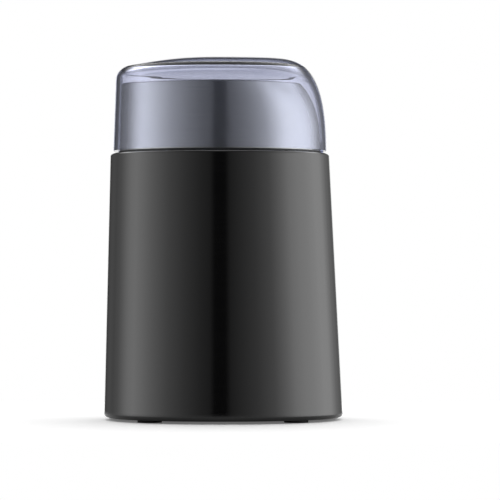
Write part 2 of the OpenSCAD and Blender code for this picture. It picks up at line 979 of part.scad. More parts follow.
// Each coil: an end turn above the stack and one below, joined by two legs
// that pass through the stator's windows
module stator_coils() {
    end_turn = turn_height - 0.4;
    leg = 14;
    color("#a5602e")
    on_axis(0)
        for (turn = [0, 180])
            rotate([0, 0, turn]) {
                difference() {
                    translate([0, 0, stator_z - end_turn])
                        arc_bar(coil_inner, coil_outer, stack_height + 2 * end_turn, coil_start, 180 - coil_start);
                    translate([0, 0, stator_z])
                        arc_bar(coil_inner - 1, coil_outer + 1, stack_height,
                            coil_start + leg, 180 - coil_start - leg);
                }
            }
}

// Legs that stand on the stator, drilled for the long screws
module bracket_legs(height) {
    for (s = [-1, 1])
        translate([s * bolt_x - leg_length / 2, -leg_width / 2, 0])
            cube([leg_length, leg_width, height]);
}

module leg_bores(height) {
    for (s = [-1, 1])
        translate([s * bolt_x, 0, -1])
            cylinder(r = bolt_radius + 0.2, h = height + 2);
}

damper_bore = 4;

module upper_bracket() {
    legs = upper_z - stator_top;
    color("#8f9296")
    on_axis(0)
        difference() {
            union() {
                translate([0, 0, stator_top])
                    bracket_legs(legs + tiny);
                translate([0, 0, upper_z])
                    linear_extrude(bracket_wall) {
                        circle(r = 15);
                        square([2 * bolt_x + leg_length, leg_width], center = true);
                        for (s = [-1, 1])
                            rotate([0, 0, s * atan2(hanger_y, hanger_x)])
                                square([2 * norm([hanger_x, hanger_y]), 9], center = true);
                        for (sx = [-1, 1], sy = [-1, 1])
                            translate([sx * hanger_x, sy * hanger_y])
                                circle(r = damper_bore + 2.5);
                    }
                translate([0, 0, upper_z])
                    cylinder(r = bearing_radius, h = bush_height);
            }
            translate([0, 0, upper_z - 1])
                cylinder(r = bush_radius + fit, h = bush_height + 2);
            translate([0, 0, stator_top])
                leg_bores(legs + bracket_wall);
            translate([0, 0, upper_z - 1])
                at_corners(hanger_x, hanger_y)
                    cylinder(r = damper_bore + fit, h = bracket_wall + 2);
        }
}

module lower_bracket() {
    legs = stator_z - lower_z;
    color("#8f9296")
    on_axis(lower_z)
        difference() {
            union() {
                bracket_legs(legs);
                linear_extrude(bracket_wall) {
                    circle(r = 13);
                    square([2 * bolt_x + leg_length, leg_width], center = true);
                    square([11, 2 * holder_back], center = true);
                }
                cylinder(r = bearing_radius, h = bush_height);
            }
            translate([0, 0, -1])
                cylinder(r = bush_radius + fit, h = bush_height + 2);
            leg_bores(legs);
        }
}

module upper_bush() {
    color("#b08d57")
    on_axis(upper_z)
        tube(bush_radius, shaft_radius + running, bush_height);
}

module lower_bush() {
    color("#b08d57")
    on_axis(lower_z)
        tube(bush_radius, shaft_radius + running, bush_height);
}

module motor_screws() {
    length = upper_z + bracket_wall - lower_z;
    color("#8c8f93")
    on_axis(lower_z)
        for (s = [-1, 1])
            translate([s * bolt_x, 0, 0])
                screw(bolt_radius, length);
}

module motor_dampers() {
    color("#2b2b2c")
    on_axis(upper_z - damper_pad)
        at_corners(hanger_x, hanger_y)
            difference() {
                union() {
                    cylinder(r = damper_bore + 1.4, h = damper_pad);
                    cylinder(r = damper_bore, h = 2 * damper_pad + bracket_wall);
                    translate([0, 0, damper_pad + bracket_wall])
                        cylinder(r = damper_bore + 1.4, h = damper_pad);
                }
                translate([0, 0, -1])
                    cylinder(r = thread_radius + fit, h = 12);
            }
}

module hanger_screws() {
    color("#8c8f93")
    on_axis(upper_z - damper_pad)
        at_corners(hanger_x, hanger_y)
            screw(thread_radius, 2 * damper_pad + bracket_wall + post_height - 2, 3.6);
}

// ------------------------------------------------------------------ brushes

holder_front = commutator_radius + 2;
holder_wall = 1.6;

module brush_sides() {
    for (turn = [0, 180])
        on_axis(brush_z)
            rotate([0, 0, turn])
                children();
}

module brush_holders() {
    length = holder_back - holder_front;
    drop = brush_z - lower_z - bracket_wall;
    color("#6b3f22")
    brush_sides()
        difference() {
            union() {
                translate([-brush_width / 2 - holder_wall, holder_front, -brush_height / 2 - holder_wall])
                    cube([brush_width + 2 * holder_wall, length, brush_height + 2 * holder_wall]);
                translate([-4, 15, -drop])
                    cube([8, 10, drop]);
            }
            translate([-brush_width / 2 - fit, 0, -brush_height / 2 - fit])
                cube([brush_width + 2 * fit, holder_back - holder_wall, brush_height + 2 * fit]);
        }
}

module carbon_brushes() {
    color("#2c2c2e")
    brush_sides()
        difference() {
            translate([-brush_width / 2, 4, -brush_height / 2])
                cube([brush_width, brush_back - 4, brush_height]);
            translate([0, 0, -20])
                cylinder(r = commutator_radius + fit, h = 40);
        }
}

module brush_springs() {
    color("#b08d57")
    brush_sides()
        translate([0, holder_back - holder_wall, 0])
            rotate([90, 0, 0])
                coil_spring(1.6, 0.5, holder_back - holder_wall - brush_back, 3);
}

// ------------------------------------------------------------------- switch

module switch_bracket() {
    top = plate_z - tab_drop;
    bottom = switch_z - shelf_height;
    depth = pusher_x + pusher_radius + 0.2 - web_x;
    color("#d8d4c6")
    difference() {
        union() {
            translate([web_x, -7, bottom])
                cube([web_wall, 14, top - bottom]);
            translate([web_x, -tab_y - tab_radius, top - tab_height])
                cube([tab_x - web_x + tab_radius, 2 * (tab_y + tab_radius), tab_height]);
            translate([web_x, -5, guide_top - guide_height])
                cube([depth, 10, guide_height]);
            translate([web_x, -switch_length / 2, bottom])
                cube([depth, switch_length, shelf_height]);
        }
        translate([pusher_x, 0, guide_top - guide_height - 1])
            cylinder(r = stem_radius + slip, h = guide_height + 2);
        translate([pusher_x, 0, top - 4])
            cylinder(r = pusher_radius + 0.3, h = 6);
        for (s = [-1, 1])
            translate([tab_x, s * tab_y, top - 4])
                cylinder(r = tab_screw + fit, h = 5);
        // Slots for the switch's pins
        for (s = [-1, 0, 1])
            translate([pusher_x, s * pin_pitch, bottom])
                cube([1, 2.2, 3 * shelf_height], center = true);
    }
}

module switch_screws() {
    color("#8c8f93")
    for (s = [-1, 1])
        translate([tab_x, s * tab_y, plate_z - tab_drop - tab_height])
            screw(tab_screw, tab_drop + tab_height, 2);
}

module microswitch() {
    pin_drop = shelf_height + 2.6;
    color("#1c1d1f")
    difference() {
        union() {
            translate([pusher_x - switch_wall / 2, -switch_length / 2, switch_z])
                cube([switch_wall, switch_length, switch_height]);
            for (s = [-1, 0, 1])
                translate([pusher_x - 0.3, s * pin_pitch - 0.9, switch_z - pin_drop])
                    cube([0.6, 1.8, pin_drop + 1]);
        }
        translate([pusher_x, 0, switch_top - press_travel - 1.6])
            cylinder(r = button_radius + 0.1, h = 6);
    }
}

module switch_button() {
    depth = 1.4;
    color("#b5382c")
    translate([pusher_x, 0, switch_top - depth])
        cylinder(r = button_radius, h = stem_z - switch_top + depth);
}

// Plunger: a blade under the lid's tongue, a round collar for the spring,
// and a stem that runs through the bracket's guide
module switch_pusher() {
    collar_z = guide_top + spring_length;
    color("#d8d4c6") {
        translate([tongue_x - tongue_wall / 2, -3.6, collar_z + 2])
            cube([tongue_wall, 7.2, tongue_z - collar_z - 2]);
        translate([pusher_x, 0, collar_z])
            cylinder(r = pusher_radius, h = 4);
        translate([pusher_x, 0, stem_z])
            cylinder(r = stem_radius, h = collar_z - stem_z + tiny);
    }
}

module pusher_spring() {
    color("#9da1a6")
    translate([pusher_x, 0, guide_top])
        coil_spring(stem_radius + 0.3 + spring_wire / 2, spring_wire, spring_length, 5);
}

// ---------------------------------------------------------------------- lid

wall_steps = [0, 0.16, 0.33, 0.5, 0.64, 0.75, 0.83, 0.89, 0.94, 0.98, 1];
crown_steps = [0.8, 0.55, 0.3, 0.08];

function lid_wall_ring(t, d) =
    let (z = blend(lid_z, crown_z - d, t))
    oval(lid_reach(z, d), z);

module lid() {
    color("#8f93b8", 0.4) {
        ring_stack([
            for (i = [len(crown_steps) - 1 : -1 : 0])
                crown_ring(crown_steps[i], lid_wall),
            for (i = [len(wall_steps) - 1 : -1 : 0])
                lid_wall_ring(wall_steps[i], lid_wall),
            for (t = wall_steps)
                lid_wall_ring(t, 0),
            for (s = crown_steps)
                crown_ring(s, 0)
        ]);
        // Tongue, tied into the wall above its root
        translate([tongue_x - tongue_wall / 2, -tongue_width / 2, tongue_z])
            cube([tongue_wall, tongue_width, lid_z + 4 - tongue_z]);
    }
}

housing();
base_cover();
base_screws();
feet();
cord_gland();
deck();
deck_screws();
neck_band();
bowl();
bowl_gasket();
shaft_seal();
blade();
blade_spacer();
blade_nut();
motor_shaft();
armature_core();
armature_windings();
commutator();
cooling_fan();
stator_core();
stator_coils();
upper_bracket();
lower_bracket();
upper_bush();
lower_bush();
motor_screws();
motor_dampers();
hanger_screws();
brush_holders();
carbon_brushes();
brush_springs();
switch_bracket();
microswitch();
switch_screws();
pusher_spring();
switch_pusher();
switch_button();
lid();
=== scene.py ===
"""Looks of a push-lid electric spice grinder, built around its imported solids.

The glossy, satin and clear shells that carry the look are new smooth surfaces
worked out with numpy from the same oval outline as the solids. Every other
node keeps its own shape and gets a procedural finish.
"""

import json
import logging
import math
from dataclasses import dataclass
from enum import Enum

import bpy
import numpy as np
from mathutils import Matrix, Vector

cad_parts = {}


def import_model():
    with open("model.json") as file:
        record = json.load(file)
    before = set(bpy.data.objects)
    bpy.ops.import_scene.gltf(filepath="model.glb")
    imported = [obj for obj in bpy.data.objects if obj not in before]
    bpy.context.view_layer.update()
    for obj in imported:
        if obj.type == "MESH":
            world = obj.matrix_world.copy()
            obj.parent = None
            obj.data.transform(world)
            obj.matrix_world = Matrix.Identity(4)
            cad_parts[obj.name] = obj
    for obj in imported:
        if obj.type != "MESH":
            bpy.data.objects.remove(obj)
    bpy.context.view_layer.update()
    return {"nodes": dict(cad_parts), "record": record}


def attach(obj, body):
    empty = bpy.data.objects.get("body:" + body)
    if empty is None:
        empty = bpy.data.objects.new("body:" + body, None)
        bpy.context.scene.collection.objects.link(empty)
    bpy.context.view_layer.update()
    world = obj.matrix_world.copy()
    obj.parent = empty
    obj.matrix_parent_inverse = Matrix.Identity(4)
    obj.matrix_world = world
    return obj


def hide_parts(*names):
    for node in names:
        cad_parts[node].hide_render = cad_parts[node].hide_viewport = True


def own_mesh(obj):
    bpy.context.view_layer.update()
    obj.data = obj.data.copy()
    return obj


Array = np.ndarray
Pair = tuple[float, float]
Triple = tuple[float, float, float]
Colour = Triple
Socket = bpy.types.NodeSocket

MM = 0.001
log = logging.getLogger("grinder")

# Stretch of a metal's lines where they run round an upright part
TURNED: Triple = (900.0, 900.0, 3600.0)
# A wave texture repeats after this length, in metres, divided by its scale
WAVE_PERIOD = 0.314


# ------------------------------------------------------------------ outlines


@dataclass(frozen=True)
class Reach:
    """Extent of an oval at each level: lowest X, highest X and half depth, in mm."""

    low: Array
    high: Array
    depth: Array

    def inset(self, by: float | Array) -> "Reach":
        """The same oval, smaller by the given distance on every side."""
        return Reach(self.low + by, self.high - by, self.depth - by)


def round_in(z: Array, start: float, top: float, radius: float, power: float = 2.0) -> Array:
    """Inset of a rounded corner, by level.

    With t the share of the way from start to top, the inset is
    radius * (1 - (1 - t^power)^(1/power)): zero below start, radius at top.

    Args:
        z: Levels, in mm.
        start: Level where the corner starts.
        top: Level where the corner would be complete.
        radius: Inset at the top.
        power: 2 is a quarter ellipse, more is squarer.

    Returns:
        The inset at each level.
    """
    t = np.clip((np.asarray(z, float) - start) / (top - start), 0.0, 1.0)
    return radius * (1.0 - (1.0 - t**power) ** (1.0 / power))


@dataclass(frozen=True)
class Outline:
    """Tapered oval that housing, lid, neck and bowl all follow.

    Lengths are in mm. Roundness is the power of the ovals, 2 for an ellipse and
    more for a squarer one, and sweep_start and sweep_turn are the powers of the
    sweep at the lid's right end.
    """

    base_length: float = 110.0
    base_depth: float = 87.0
    shoulder_length: float = 101.0
    shoulder_depth: float = 81.0
    shoulder_shift: float = 1.7
    foot_height: float = 1.2
    housing_height: float = 121.0
    roundness: float = 2.15
    lid_ledge: float = 1.35
    lid_gap: float = 1.3
    lid_height: float = 44.7
    lid_wall: float = 2.0
    lid_draft: float = 1.6
    crown_rise: float = 4.9
    neck_gap: float = 0.9
    neck_height: float = 31.8
    neck_draft: float = 0.9
    neck_sweep: float = 8.0
    sleeve_build: float = 3.3
    bowl_depth: float = 43.8
    bowl_draft: float = 1.5
    bowl_corner: float = 10.0
    left_corner: float = 9.0
    side_corner: float = 6.0
    corner_over: float = 1.2
    left_fall: float = 6.1
    side_fall: float = 9.0
    sweep_start: float = 2.4
    sweep_turn: float = 7.0

    @property
    def shoulder_z(self) -> float:
        """Level of the shoulder."""
        return self.foot_height + self.housing_height

    @property
    def lid_top(self) -> float:
        """Level of the middle of the lid's crown."""
        return self.shoulder_z + self.lid_height

    @property
    def crown_z(self) -> float:
        """Level of the edge of the lid's crown."""
        return self.lid_top - self.crown_rise

    @property
    def lid_z(self) -> float:
        """Level of the lid's lower edge."""
        return self.shoulder_z + self.lid_gap

    @property
    def rim_z(self) -> float:
        """Level of the neck's rim."""
        return self.shoulder_z + self.neck_height

    @property
    def floor_z(self) -> float:
        """Level of the bowl's floor."""
        return self.rim_z - self.bowl_depth

    def body(self, z: float | Array) -> Reach:
        """Outer face of the housing, blended evenly from the base to the shoulder.

        Args:
            z: Levels, in mm.

        Returns:
            The extent at each level.
        """
        t = (np.asarray(z, float) - self.foot_height) / self.housing_height
        mid = -self.shoulder_shift * t
        half = (self.base_length + (self.shoulder_length - self.base_length) * t) / 2
        depth = (self.base_depth + (self.shoulder_depth - self.base_depth) * t) / 2
        return Reach(mid - half, mid + half, depth)

    def lid_right(self, z: float | Array, d: float = 0.0) -> Array:
        """Right end of the lid, d inside its outer face, as one sweep.

        With t the share of the height, it stands off the shaft by the foot's
        distance times (1 - t^start)^(1/turn).

        Args:
            z: Levels, in mm.
            d: Depth under the outer face, in mm.

        Returns:
            X of the right end at each level.
        """
        t = np.clip((np.asarray(z, float) - self.shoulder_z) / (self.lid_height - d), 0.0, 1.0)
        foot = self.body(self.shoulder_z).high - self.lid_ledge - d
        stand_off = (1 - t**self.sweep_start) ** (1 / self.sweep_turn)
        return self.axis_x + (foot - self.axis_x) * stand_off

    def lid(self, z: float | Array, d: float = 0.0) -> Reach:
        """Face of the lid: round corners at the left, front and back, and the sweep
        at the right.

        Args:
            z: Levels, in mm.
            d: Depth under the outer face, in mm.

        Returns:
            The extent at each level.
        """
        z = np.asarray(z, float)
        foot = self.body(self.shoulder_z).inset(self.lid_ledge + d)
        lean = self.lid_draft * (z - self.shoulder_z) / self.lid_height
        top = self.crown_z + self.corner_over
        left = round_in(z, top - self.left_fall, top - d, self.left_corner - d / 2)
        side = round_in(z, top - self.side_fall, top - d, self.side_corner - d / 2)
        return Reach(foot.low + lean + left, self.lid_right(z, d), foot.depth - lean - side)

    def neck(self, z: float | Array, d: float = 0.0) -> Reach:
        """Face of the neck; its right end leans in by the cube of the height.

        Args:
            z: Levels, in mm.
            d: Depth under the outer face, in mm.

        Returns:
            The extent at each level.
        """
        t = np.clip((np.asarray(z, float) - self.shoulder_z) / self.neck_height, 0.0, None)
        foot = self.body(self.shoulder_z).inset(self.lid_ledge + self.lid_wall + self.neck_gap + d)
        return Reach(
            foot.low + self.neck_draft * t,
            foot.high - self.neck_sweep * t**3,
            foot.depth - self.neck_draft * t,
        )

    def bowl(self, z: float | Array, d: float = 0.0) -> Reach:
        """Face of the bowl, with a draft and a round corner at its floor.

        Args:
            z: Levels, in mm.
            d: Depth outside the inner face, in mm.

        Returns:
            The extent at each level.
        """
        h = np.asarray(z, float) - self.floor_z
        lean = self.bowl_draft * (1 - h / self.bowl_depth)
        corner = round_in(-h, -self.bowl_corner, d, self.bowl_corner + d)
        return self.neck(self.rim_z, self.sleeve_build).inset(lean + corner - d)

    @property
    def axis_x(self) -> float:
        """X of the shaft, the middle of the bowl's mouth."""
        mouth = self.bowl(self.rim_z)
        return float(mouth.low + mouth.high) / 2

    def rings(self, reach: Reach, z: Array, around: int,
              front: float | Array | None = None) -> Array:
        """Level ovals, one row for each level.

        A left and a right half oval meet at the X of the foremost point. A point
        at angle a is (front + half * c, depth * s, z), where half is the reach of
        its side, and c and s are cosine and sine of a, each raised to
        2 / roundness with its sign kept.

        Args:
            reach: Extents, one for each level.
            z: Levels.
            around: Points round each oval.
            front: X of the foremost point, if it isn't the outline's own.

        Returns:
            An array of rows x around x 3.
        """
        a = np.linspace(0.0, 2 * np.pi, around, endpoint=False)
        power = 2.0 / self.roundness
        c = np.sign(np.cos(a)) * np.abs(np.cos(a)) ** power
        s = np.sign(np.sin(a)) * np.abs(np.sin(a)) ** power
        z = np.atleast_1d(np.asarray(z, float))
        middle = -self.shoulder_shift if front is None else front
        low, high, depth, middle = (
            np.broadcast_to(v, z.shape)[:, None]
            for v in (reach.low, reach.high, reach.depth, middle)
        )
        x = middle + np.where(c > 0, high - middle, middle - low) * c
        return np.stack([x, depth * s, np.broadcast_to(z[:, None], x.shape)], axis=-1)


# ------------------------------------------------------------------- meshing


class Ends(Enum):
    """What happens at the first and the last row of a grid."""

    MEET = "the last row meets the first"
    POLES = "each end closes on its middle point"


def grid_faces(rows: int, columns: int, meet: bool) -> Array:
    """Quads between neighbouring rows of a grid that closes round its columns.

    Args:
        rows: Number of rows.
        columns: Points in a row.
        meet: Whether the last row joins the first.

    Returns:
        An array of quads x 4 vertex numbers.
    """
    j = np.arange(rows if meet else rows - 1)[:, None]
    i = np.arange(columns)[None, :]
    k, s = (j + 1) % rows, (i + 1) % columns
    corners = (j * columns + i, j * columns + s, k * columns + s, k * columns + i)
    return np.stack(np.broadcast_arrays(*corners), -1).reshape(-1, 4)


def pole_faces(first: int, columns: int, centre: int, flip: bool) -> Array:
    """Triangles from one row to a middle point.

    Args:
        first: Number of the row's first vertex.
        columns: Points in the row.
        centre: Number of the middle vertex.
        flip: Whether they are wound the other way round.

    Returns:
        An array of triangles x 3 vertex numbers.
    """
    i = np.arange(columns)
    a, b = first + i, first + (i + 1) % columns
    c = np.full(columns, centre)
    return np.stack([b, a, c] if flip else [a, b, c], -1)


def mesh_from(name: str, points: Array, quads: Array,
              triangles: Array | None = None) -> bpy.types.Mesh:
    """A mesh from whole arrays.

    Args:
        name: Name of the mesh.
        points: Vertices x 3, in mm.
        quads: Quads x 4 vertex numbers.
        triangles: Triangles x 3 vertex numbers, or None.

    Returns:
        The mesh, in metres.
    """
    triangles = np.zeros((0, 3), int) if triangles is None else triangles
    mesh = bpy.data.meshes.new(name)
    mesh.vertices.add(len(points))
    mesh.vertices.foreach_set("co", (points * MM).astype(np.float32).ravel())
    corners = np.concatenate([quads.ravel(), triangles.ravel()]).astype(np.int32)
    totals = np.concatenate([np.full(len(quads), 4), np.full(len(triangles), 3)]).astype(np.int32)
    mesh.loops.add(len(corners))
    mesh.loops.foreach_set("vertex_index", corners)
    mesh.polygons.add(len(totals))
    mesh.polygons.foreach_set("loop_start", (np.cumsum(totals) - totals).astype(np.int32))
    mesh.polygons.foreach_set("loop_total", totals)
    mesh.update(calc_edges=True)
    mesh.validate()
    return mesh


def surface(name: str, grid: Array, ends: Ends = Ends.MEET) -> bpy.types.Mesh:
    """A closed mesh from a grid of rows x columns x 3 points, in mm.

    The signed volume, a sixth of the sum of each face's corner products,
    decides the way round, so that every face points outwards.

    Args:
        name: Name of the mesh.
        grid: Points; the columns close round.
        ends: How the first and last row are closed.

    Returns:
        The mesh, in metres.
    """
    rows, columns = grid.shape[:2]
    points = grid.reshape(-1, 3)
    quads = grid_faces(rows, columns, ends is Ends.MEET)
    triangles = None
    if ends is Ends.POLES:
        low, high = grid[0].mean(0), grid[-1].mean(0)
        points = np.vstack([points, low, high])
        n = rows * columns
        triangles = np.vstack([
            pole_faces(0, columns, n, True),
            pole_faces((rows - 1) * columns, columns, n + 1, False),
        ])
    a, b, c, d = (points[quads[:, k]] for k in range(4))
    volume = np.einsum("ij,ij->", a, np.cross(b, c)) + np.einsum("ij,ij->", a, np.cross(c, d))
    if volume < 0:
        quads = quads[:, ::-1]
        triangles = None if triangles is None else triangles[:, ::-1]
    return mesh_from(name, points, quads, triangles)


def lathe(profile: Array, around: int, centre: Pair) -> Array:
    """A profile turned round a vertical axis: (x + r cos a, y + r sin a, z).

    Args:
        profile: Rows of (r, z).
        around: Points round each row.
        centre: The axis, as (x, y).

    Returns:
        An array of rows x around x 3.
    """
    a = np.linspace(0.0, 2 * np.pi, around, endpoint=False)
    r, z = profile[:, :1], profile[:, 1:2]
    return np.stack([centre[0] + r * np.cos(a), centre[1] + r * np.sin(a), z + 0 * a], -1)


def subdivide(corners: Array, steps: int) -> Array:
    """Splits each stretch of a polyline into even parts.

    Args:
        corners: Corners of the polyline, one a row.
        steps: Parts between two neighbouring corners.

    Returns:
        Its points, one a row.
    """
    t = np.arange(steps * (len(corners) - 1) + 1) / steps
    at = np.arange(len(corners))
    return np.stack([np.interp(t, at, column) for column in corners.T], -1)


def block(middle: Triple, size: Triple, turn: float = 0.0) -> bpy.types.Mesh:
    """A straight-sided web.

    Args:
        middle: Its middle, in mm.
        size: Its lengths, in mm.
        turn: Angle about Z, in radians.

    Returns:
        The mesh, in metres.
    """
    square = np.array([[-0.5, -0.5], [0.5, -0.5], [0.5, 0.5], [-0.5, 0.5]]) * np.array(size[:2])
    c, s = math.cos(turn), math.sin(turn)
    flat = square @ np.array([[c, s], [-s, c]]) + np.array(middle[:2])
    rows = [np.column_stack([flat, np.full(4, middle[2] + h * size[2])]) for h in (-0.5, 0.5)]
    return surface("web", np.array(rows), Ends.POLES)


def place(name: str, meshes: list[bpy.types.Mesh], crease: float = 32.0) -> bpy.types.Object:
    """One object of several closed meshes, smooth but for edges over the crease angle.

    Args:
        name: Name of the object.
        meshes: Meshes in metres, in the frame.
        crease: Angle in degrees over which an edge stays sharp.

    Returns:
        The object, at the origin.
    """
    parts = []
    for mesh in meshes:
        part = bpy.data.objects.new(name, mesh)
        bpy.context.scene.collection.objects.link(part)
        parts.append(part)
    piece = parts[0]
    if len(parts) > 1:
        with bpy.context.temp_override(
            active_object=piece, selected_editable_objects=parts, selected_objects=parts
        ):
            bpy.ops.object.join()
    piece.name = name
    piece.data.shade_smooth()
    piece.data.set_sharp_from_angle(angle=math.radians(crease))
    return piece


class Cut(Enum):
    """How a tool mesh changes a piece."""

    AWAY = "DIFFERENCE"
    ADD = "UNION"


def carve(piece: bpy.types.Object, tool: bpy.types.Mesh, how: Cut) -> None:
    """Cuts a closed tool mesh out of a piece, or adds it, for good.

    Args:
        piece: The piece to change.
        tool: Closed mesh, in metres, in the frame.
        how: Away or add.
    """
    cutter = bpy.data.objects.new("cutter", tool)
    bpy.context.scene.collection.objects.link(cutter)
    change = piece.modifiers.new("carve", "BOOLEAN")
    change.operation, change.solver, change.object = how.value, "EXACT", cutter
    bpy.context.view_layer.update()
    graph = bpy.context.evaluated_depsgraph_get()
    result = bpy.data.meshes.new_from_object(piece.evaluated_get(graph))
    piece.modifiers.clear()
    piece.data = result
    bpy.data.objects.remove(cutter)


def piece_mesh(piece: bpy.types.Object) -> bpy.types.Mesh:
    """Takes the mesh of a piece and removes the piece.

    Args:
        piece: The piece.

    Returns:
        Its mesh.
    """
    mesh = piece.data
    bpy.data.objects.remove(piece)
    return mesh


# ------------------------------------------------------------------ finishes
#
# Varied: the factors of a colour where it is darkest and palest. Scale: that of
# a noise. Wave, grain, skin, line and ridge: the height of a relief in metres,
# with the share of it that shows.


class Tree:
    """Adds and links the nodes of one material, or of the world."""

    def __init__(self, name: str, world: bool = False) -> None:
        """Starts a material, or a world, that holds only its output.

        Args:
            name: Its name.
            world: Whether it is a world.
        """
        self.owner = (bpy.data.worlds if world else bpy.data.materials).new(name)
        self.owner.use_nodes = True
        self.nodes, self.links = self.owner.node_tree.nodes, self.owner.node_tree.links
        self.nodes.clear()
        self.out = self.add("OutputWorld" if world else "OutputMaterial")

    def add(self, kind: str, inputs: dict | None = None, **settings) -> bpy.types.Node:
        """A node with its settings and its inputs, each a value or an output socket.

        Args:
            kind: Blender's name of the node, without its prefix.
            inputs: Input name or number to value or socket.
            settings: The node's own properties.

        Returns:
            The node.
        """
        node = self.nodes.new("ShaderNode" + kind)
        for key, value in settings.items():
            setattr(node, key, value)
        for key, value in (inputs or {}).items():
            if isinstance(value, bpy.types.NodeSocket):
                self.links.new(value, node.inputs[key])
            else:
                node.inputs[key].default_value = value
        return node

    def math(self, kind: str, first: Socket, second: Socket | float = 0.0) -> Socket:
        """The result of one arithmetic step."""
        return self.add("Math", {0: first, 1: second}, operation=kind).outputs[0]

    def rise(self, value: Socket, start: float, end: float) -> Socket:
        """A soft step from 0 at start to 1 at end."""
        return self.add("MapRange", {"Value": value, "From Min": start, "From Max": end},
                        interpolation_type="SMOOTHSTEP").outputs[0]

    def choose(self, share: Socket, first: bpy.types.Node,
               second: bpy.types.Node) -> bpy.types.Node:
        """A blend of two shaders: the first where the share is 0."""
        return self.add("MixShader", {0: share, 1: first.outputs[0], 2: second.outputs[0]})

    def place(self, scale: Triple = (1.0, 1.0, 1.0), shift: Triple = (0.0, 0.0, 0.0)) -> Socket:
        """Object coordinates in metres, moved and then stretched.

        Args:
            scale: Stretch along each axis.
            shift: The point that becomes the middle.

        Returns:
            The vector.
        """
        source = self.add("TexCoord").outputs["Object"]
        moved = self.add("Mapping", {"Vector": source, "Location": tuple(-s for s in shift)})
        return self.add("Mapping", {"Vector": moved.outputs[0], "Scale": scale}).outputs[0]

    def noise(self, vector: Socket, scale: float, detail: float = 4.0) -> Socket:
        """Value noise from 0 to 1.

        Args:
            vector: Where.
            scale: Its frequency.
            detail: Number of finer layers in it.

        Returns:
            The noise.
        """
        return self.add("TexNoise", {
            "Vector": vector, "Scale": scale, "Detail": detail, "Roughness": 0.6,
        }).outputs["Fac"]

    def wave(self, vector: Socket, length: float, wander: float, detail: float = 2.0,
             **settings) -> Socket:
        """Even waves from 0 to 1.

        Args:
            vector: Where.
            length: Length of one wave, in metres.
            wander: How far they stray.
            detail: How finely they stray.
            settings: The node's own properties.

        Returns:
            The height of the waves.
        """
        return self.add("TexWave", {
            "Vector": vector, "Scale": WAVE_PERIOD / length, "Distortion": wander, "Detail": detail,
        }, **settings).outputs["Fac"]

    def spread(self, value: Socket, low: float, high: float) -> Socket:
        """A middling noise stretched onto a range.

        Args:
            value: The noise.
            low: Result where the noise is 0.3 or less.
            high: Result where it is 0.7 or more.

        Returns:
            The stretched value.
        """
        return self.add("MapRange", {
            "Value": value, "From Min": 0.3, "From Max": 0.7, "To Min": low, "To Max": high,
        }).outputs[0]

    def vary(self, value: Socket, middle: float, changes: Pair) -> Socket:
        """A number changed by the first amount or the second, by a middling noise."""
        return self.spread(value, *(middle + change for change in changes))

    def tint(self, value: Socket, low: Colour, high: Colour) -> Socket:
        """A colour between two, by a middling noise.

        Args:
            value: The noise.
            low: Colour where the noise is 0.32 or less.
            high: Colour where it is 0.68 or more.

        Returns:
            The colour.
        """
        ramp = self.add("ValToRGB", {"Fac": value})
        for stop, position, colour in zip(ramp.color_ramp.elements, (0.32, 0.68), (low, high)):
            stop.position, stop.color = position, (*colour, 1.0)
        return ramp.outputs["Color"]

    def shades(self, value: Socket, colour: Colour, factors: Pair) -> Socket:
        """A colour that varies between two factors of itself, by a middling noise."""
        return self.tint(value, *(tuple(min(1.0, c * by) for c in colour) for by in factors))

    def bump(self, height: Socket, distance: float, strength: float = 1.0,
             below: Socket | None = None) -> Socket:
        """Surface relief of a real height.

        Args:
            height: Height from 0 to 1.
            distance: Height of 1, in metres.
            strength: Share of the relief that shows.
            below: Relief that this one lies on.

        Returns:
            The normal.
        """
        inputs = {"Height": height, "Distance": distance, "Strength": strength}
        if below is not None:
            inputs["Normal"] = below
        return self.add("Bump", inputs).outputs[0]

    def end(self, shader: bpy.types.Node) -> bpy.types.Material | bpy.types.World:
        """Ends the tree in the given shader."""
        self.links.new(shader.outputs[0], self.out.inputs["Surface"])
        return self.owner

    def close(self, inputs: dict) -> bpy.types.Material:
        """Ends the tree in one principled shader."""
        return self.end(self.add("BsdfPrincipled", inputs))


@dataclass(frozen=True)
class Moulded:
    """Injection-moulded plastic: fine grain, a slow unevenness of its gloss and
    a little variation of colour."""

    name: str
    colour: Colour
    roughness: float
    uneven: float = 0.04
    grain: float = 0.000012
    grain_share: float = 0.5
    grain_scale: float = 2600.0
    slow_scale: float = 38.0
    varied: Pair = (0.9, 1.12)

    def material(self) -> bpy.types.Material:
        """Builds the material.

        Returns:
            The moulded plastic.
        """
        tree = Tree(self.name)
        at = tree.place()
        slow = tree.noise(at, self.slow_scale, detail=5.0)
        fine = tree.noise(at, self.grain_scale, detail=2.0)
        return tree.close({
            "Base Color": tree.shades(slow, self.colour, self.varied),
            "Roughness": tree.vary(slow, self.roughness, (-self.uneven, self.uneven)),
            "Normal": tree.bump(fine, self.grain, self.grain_share),
        })


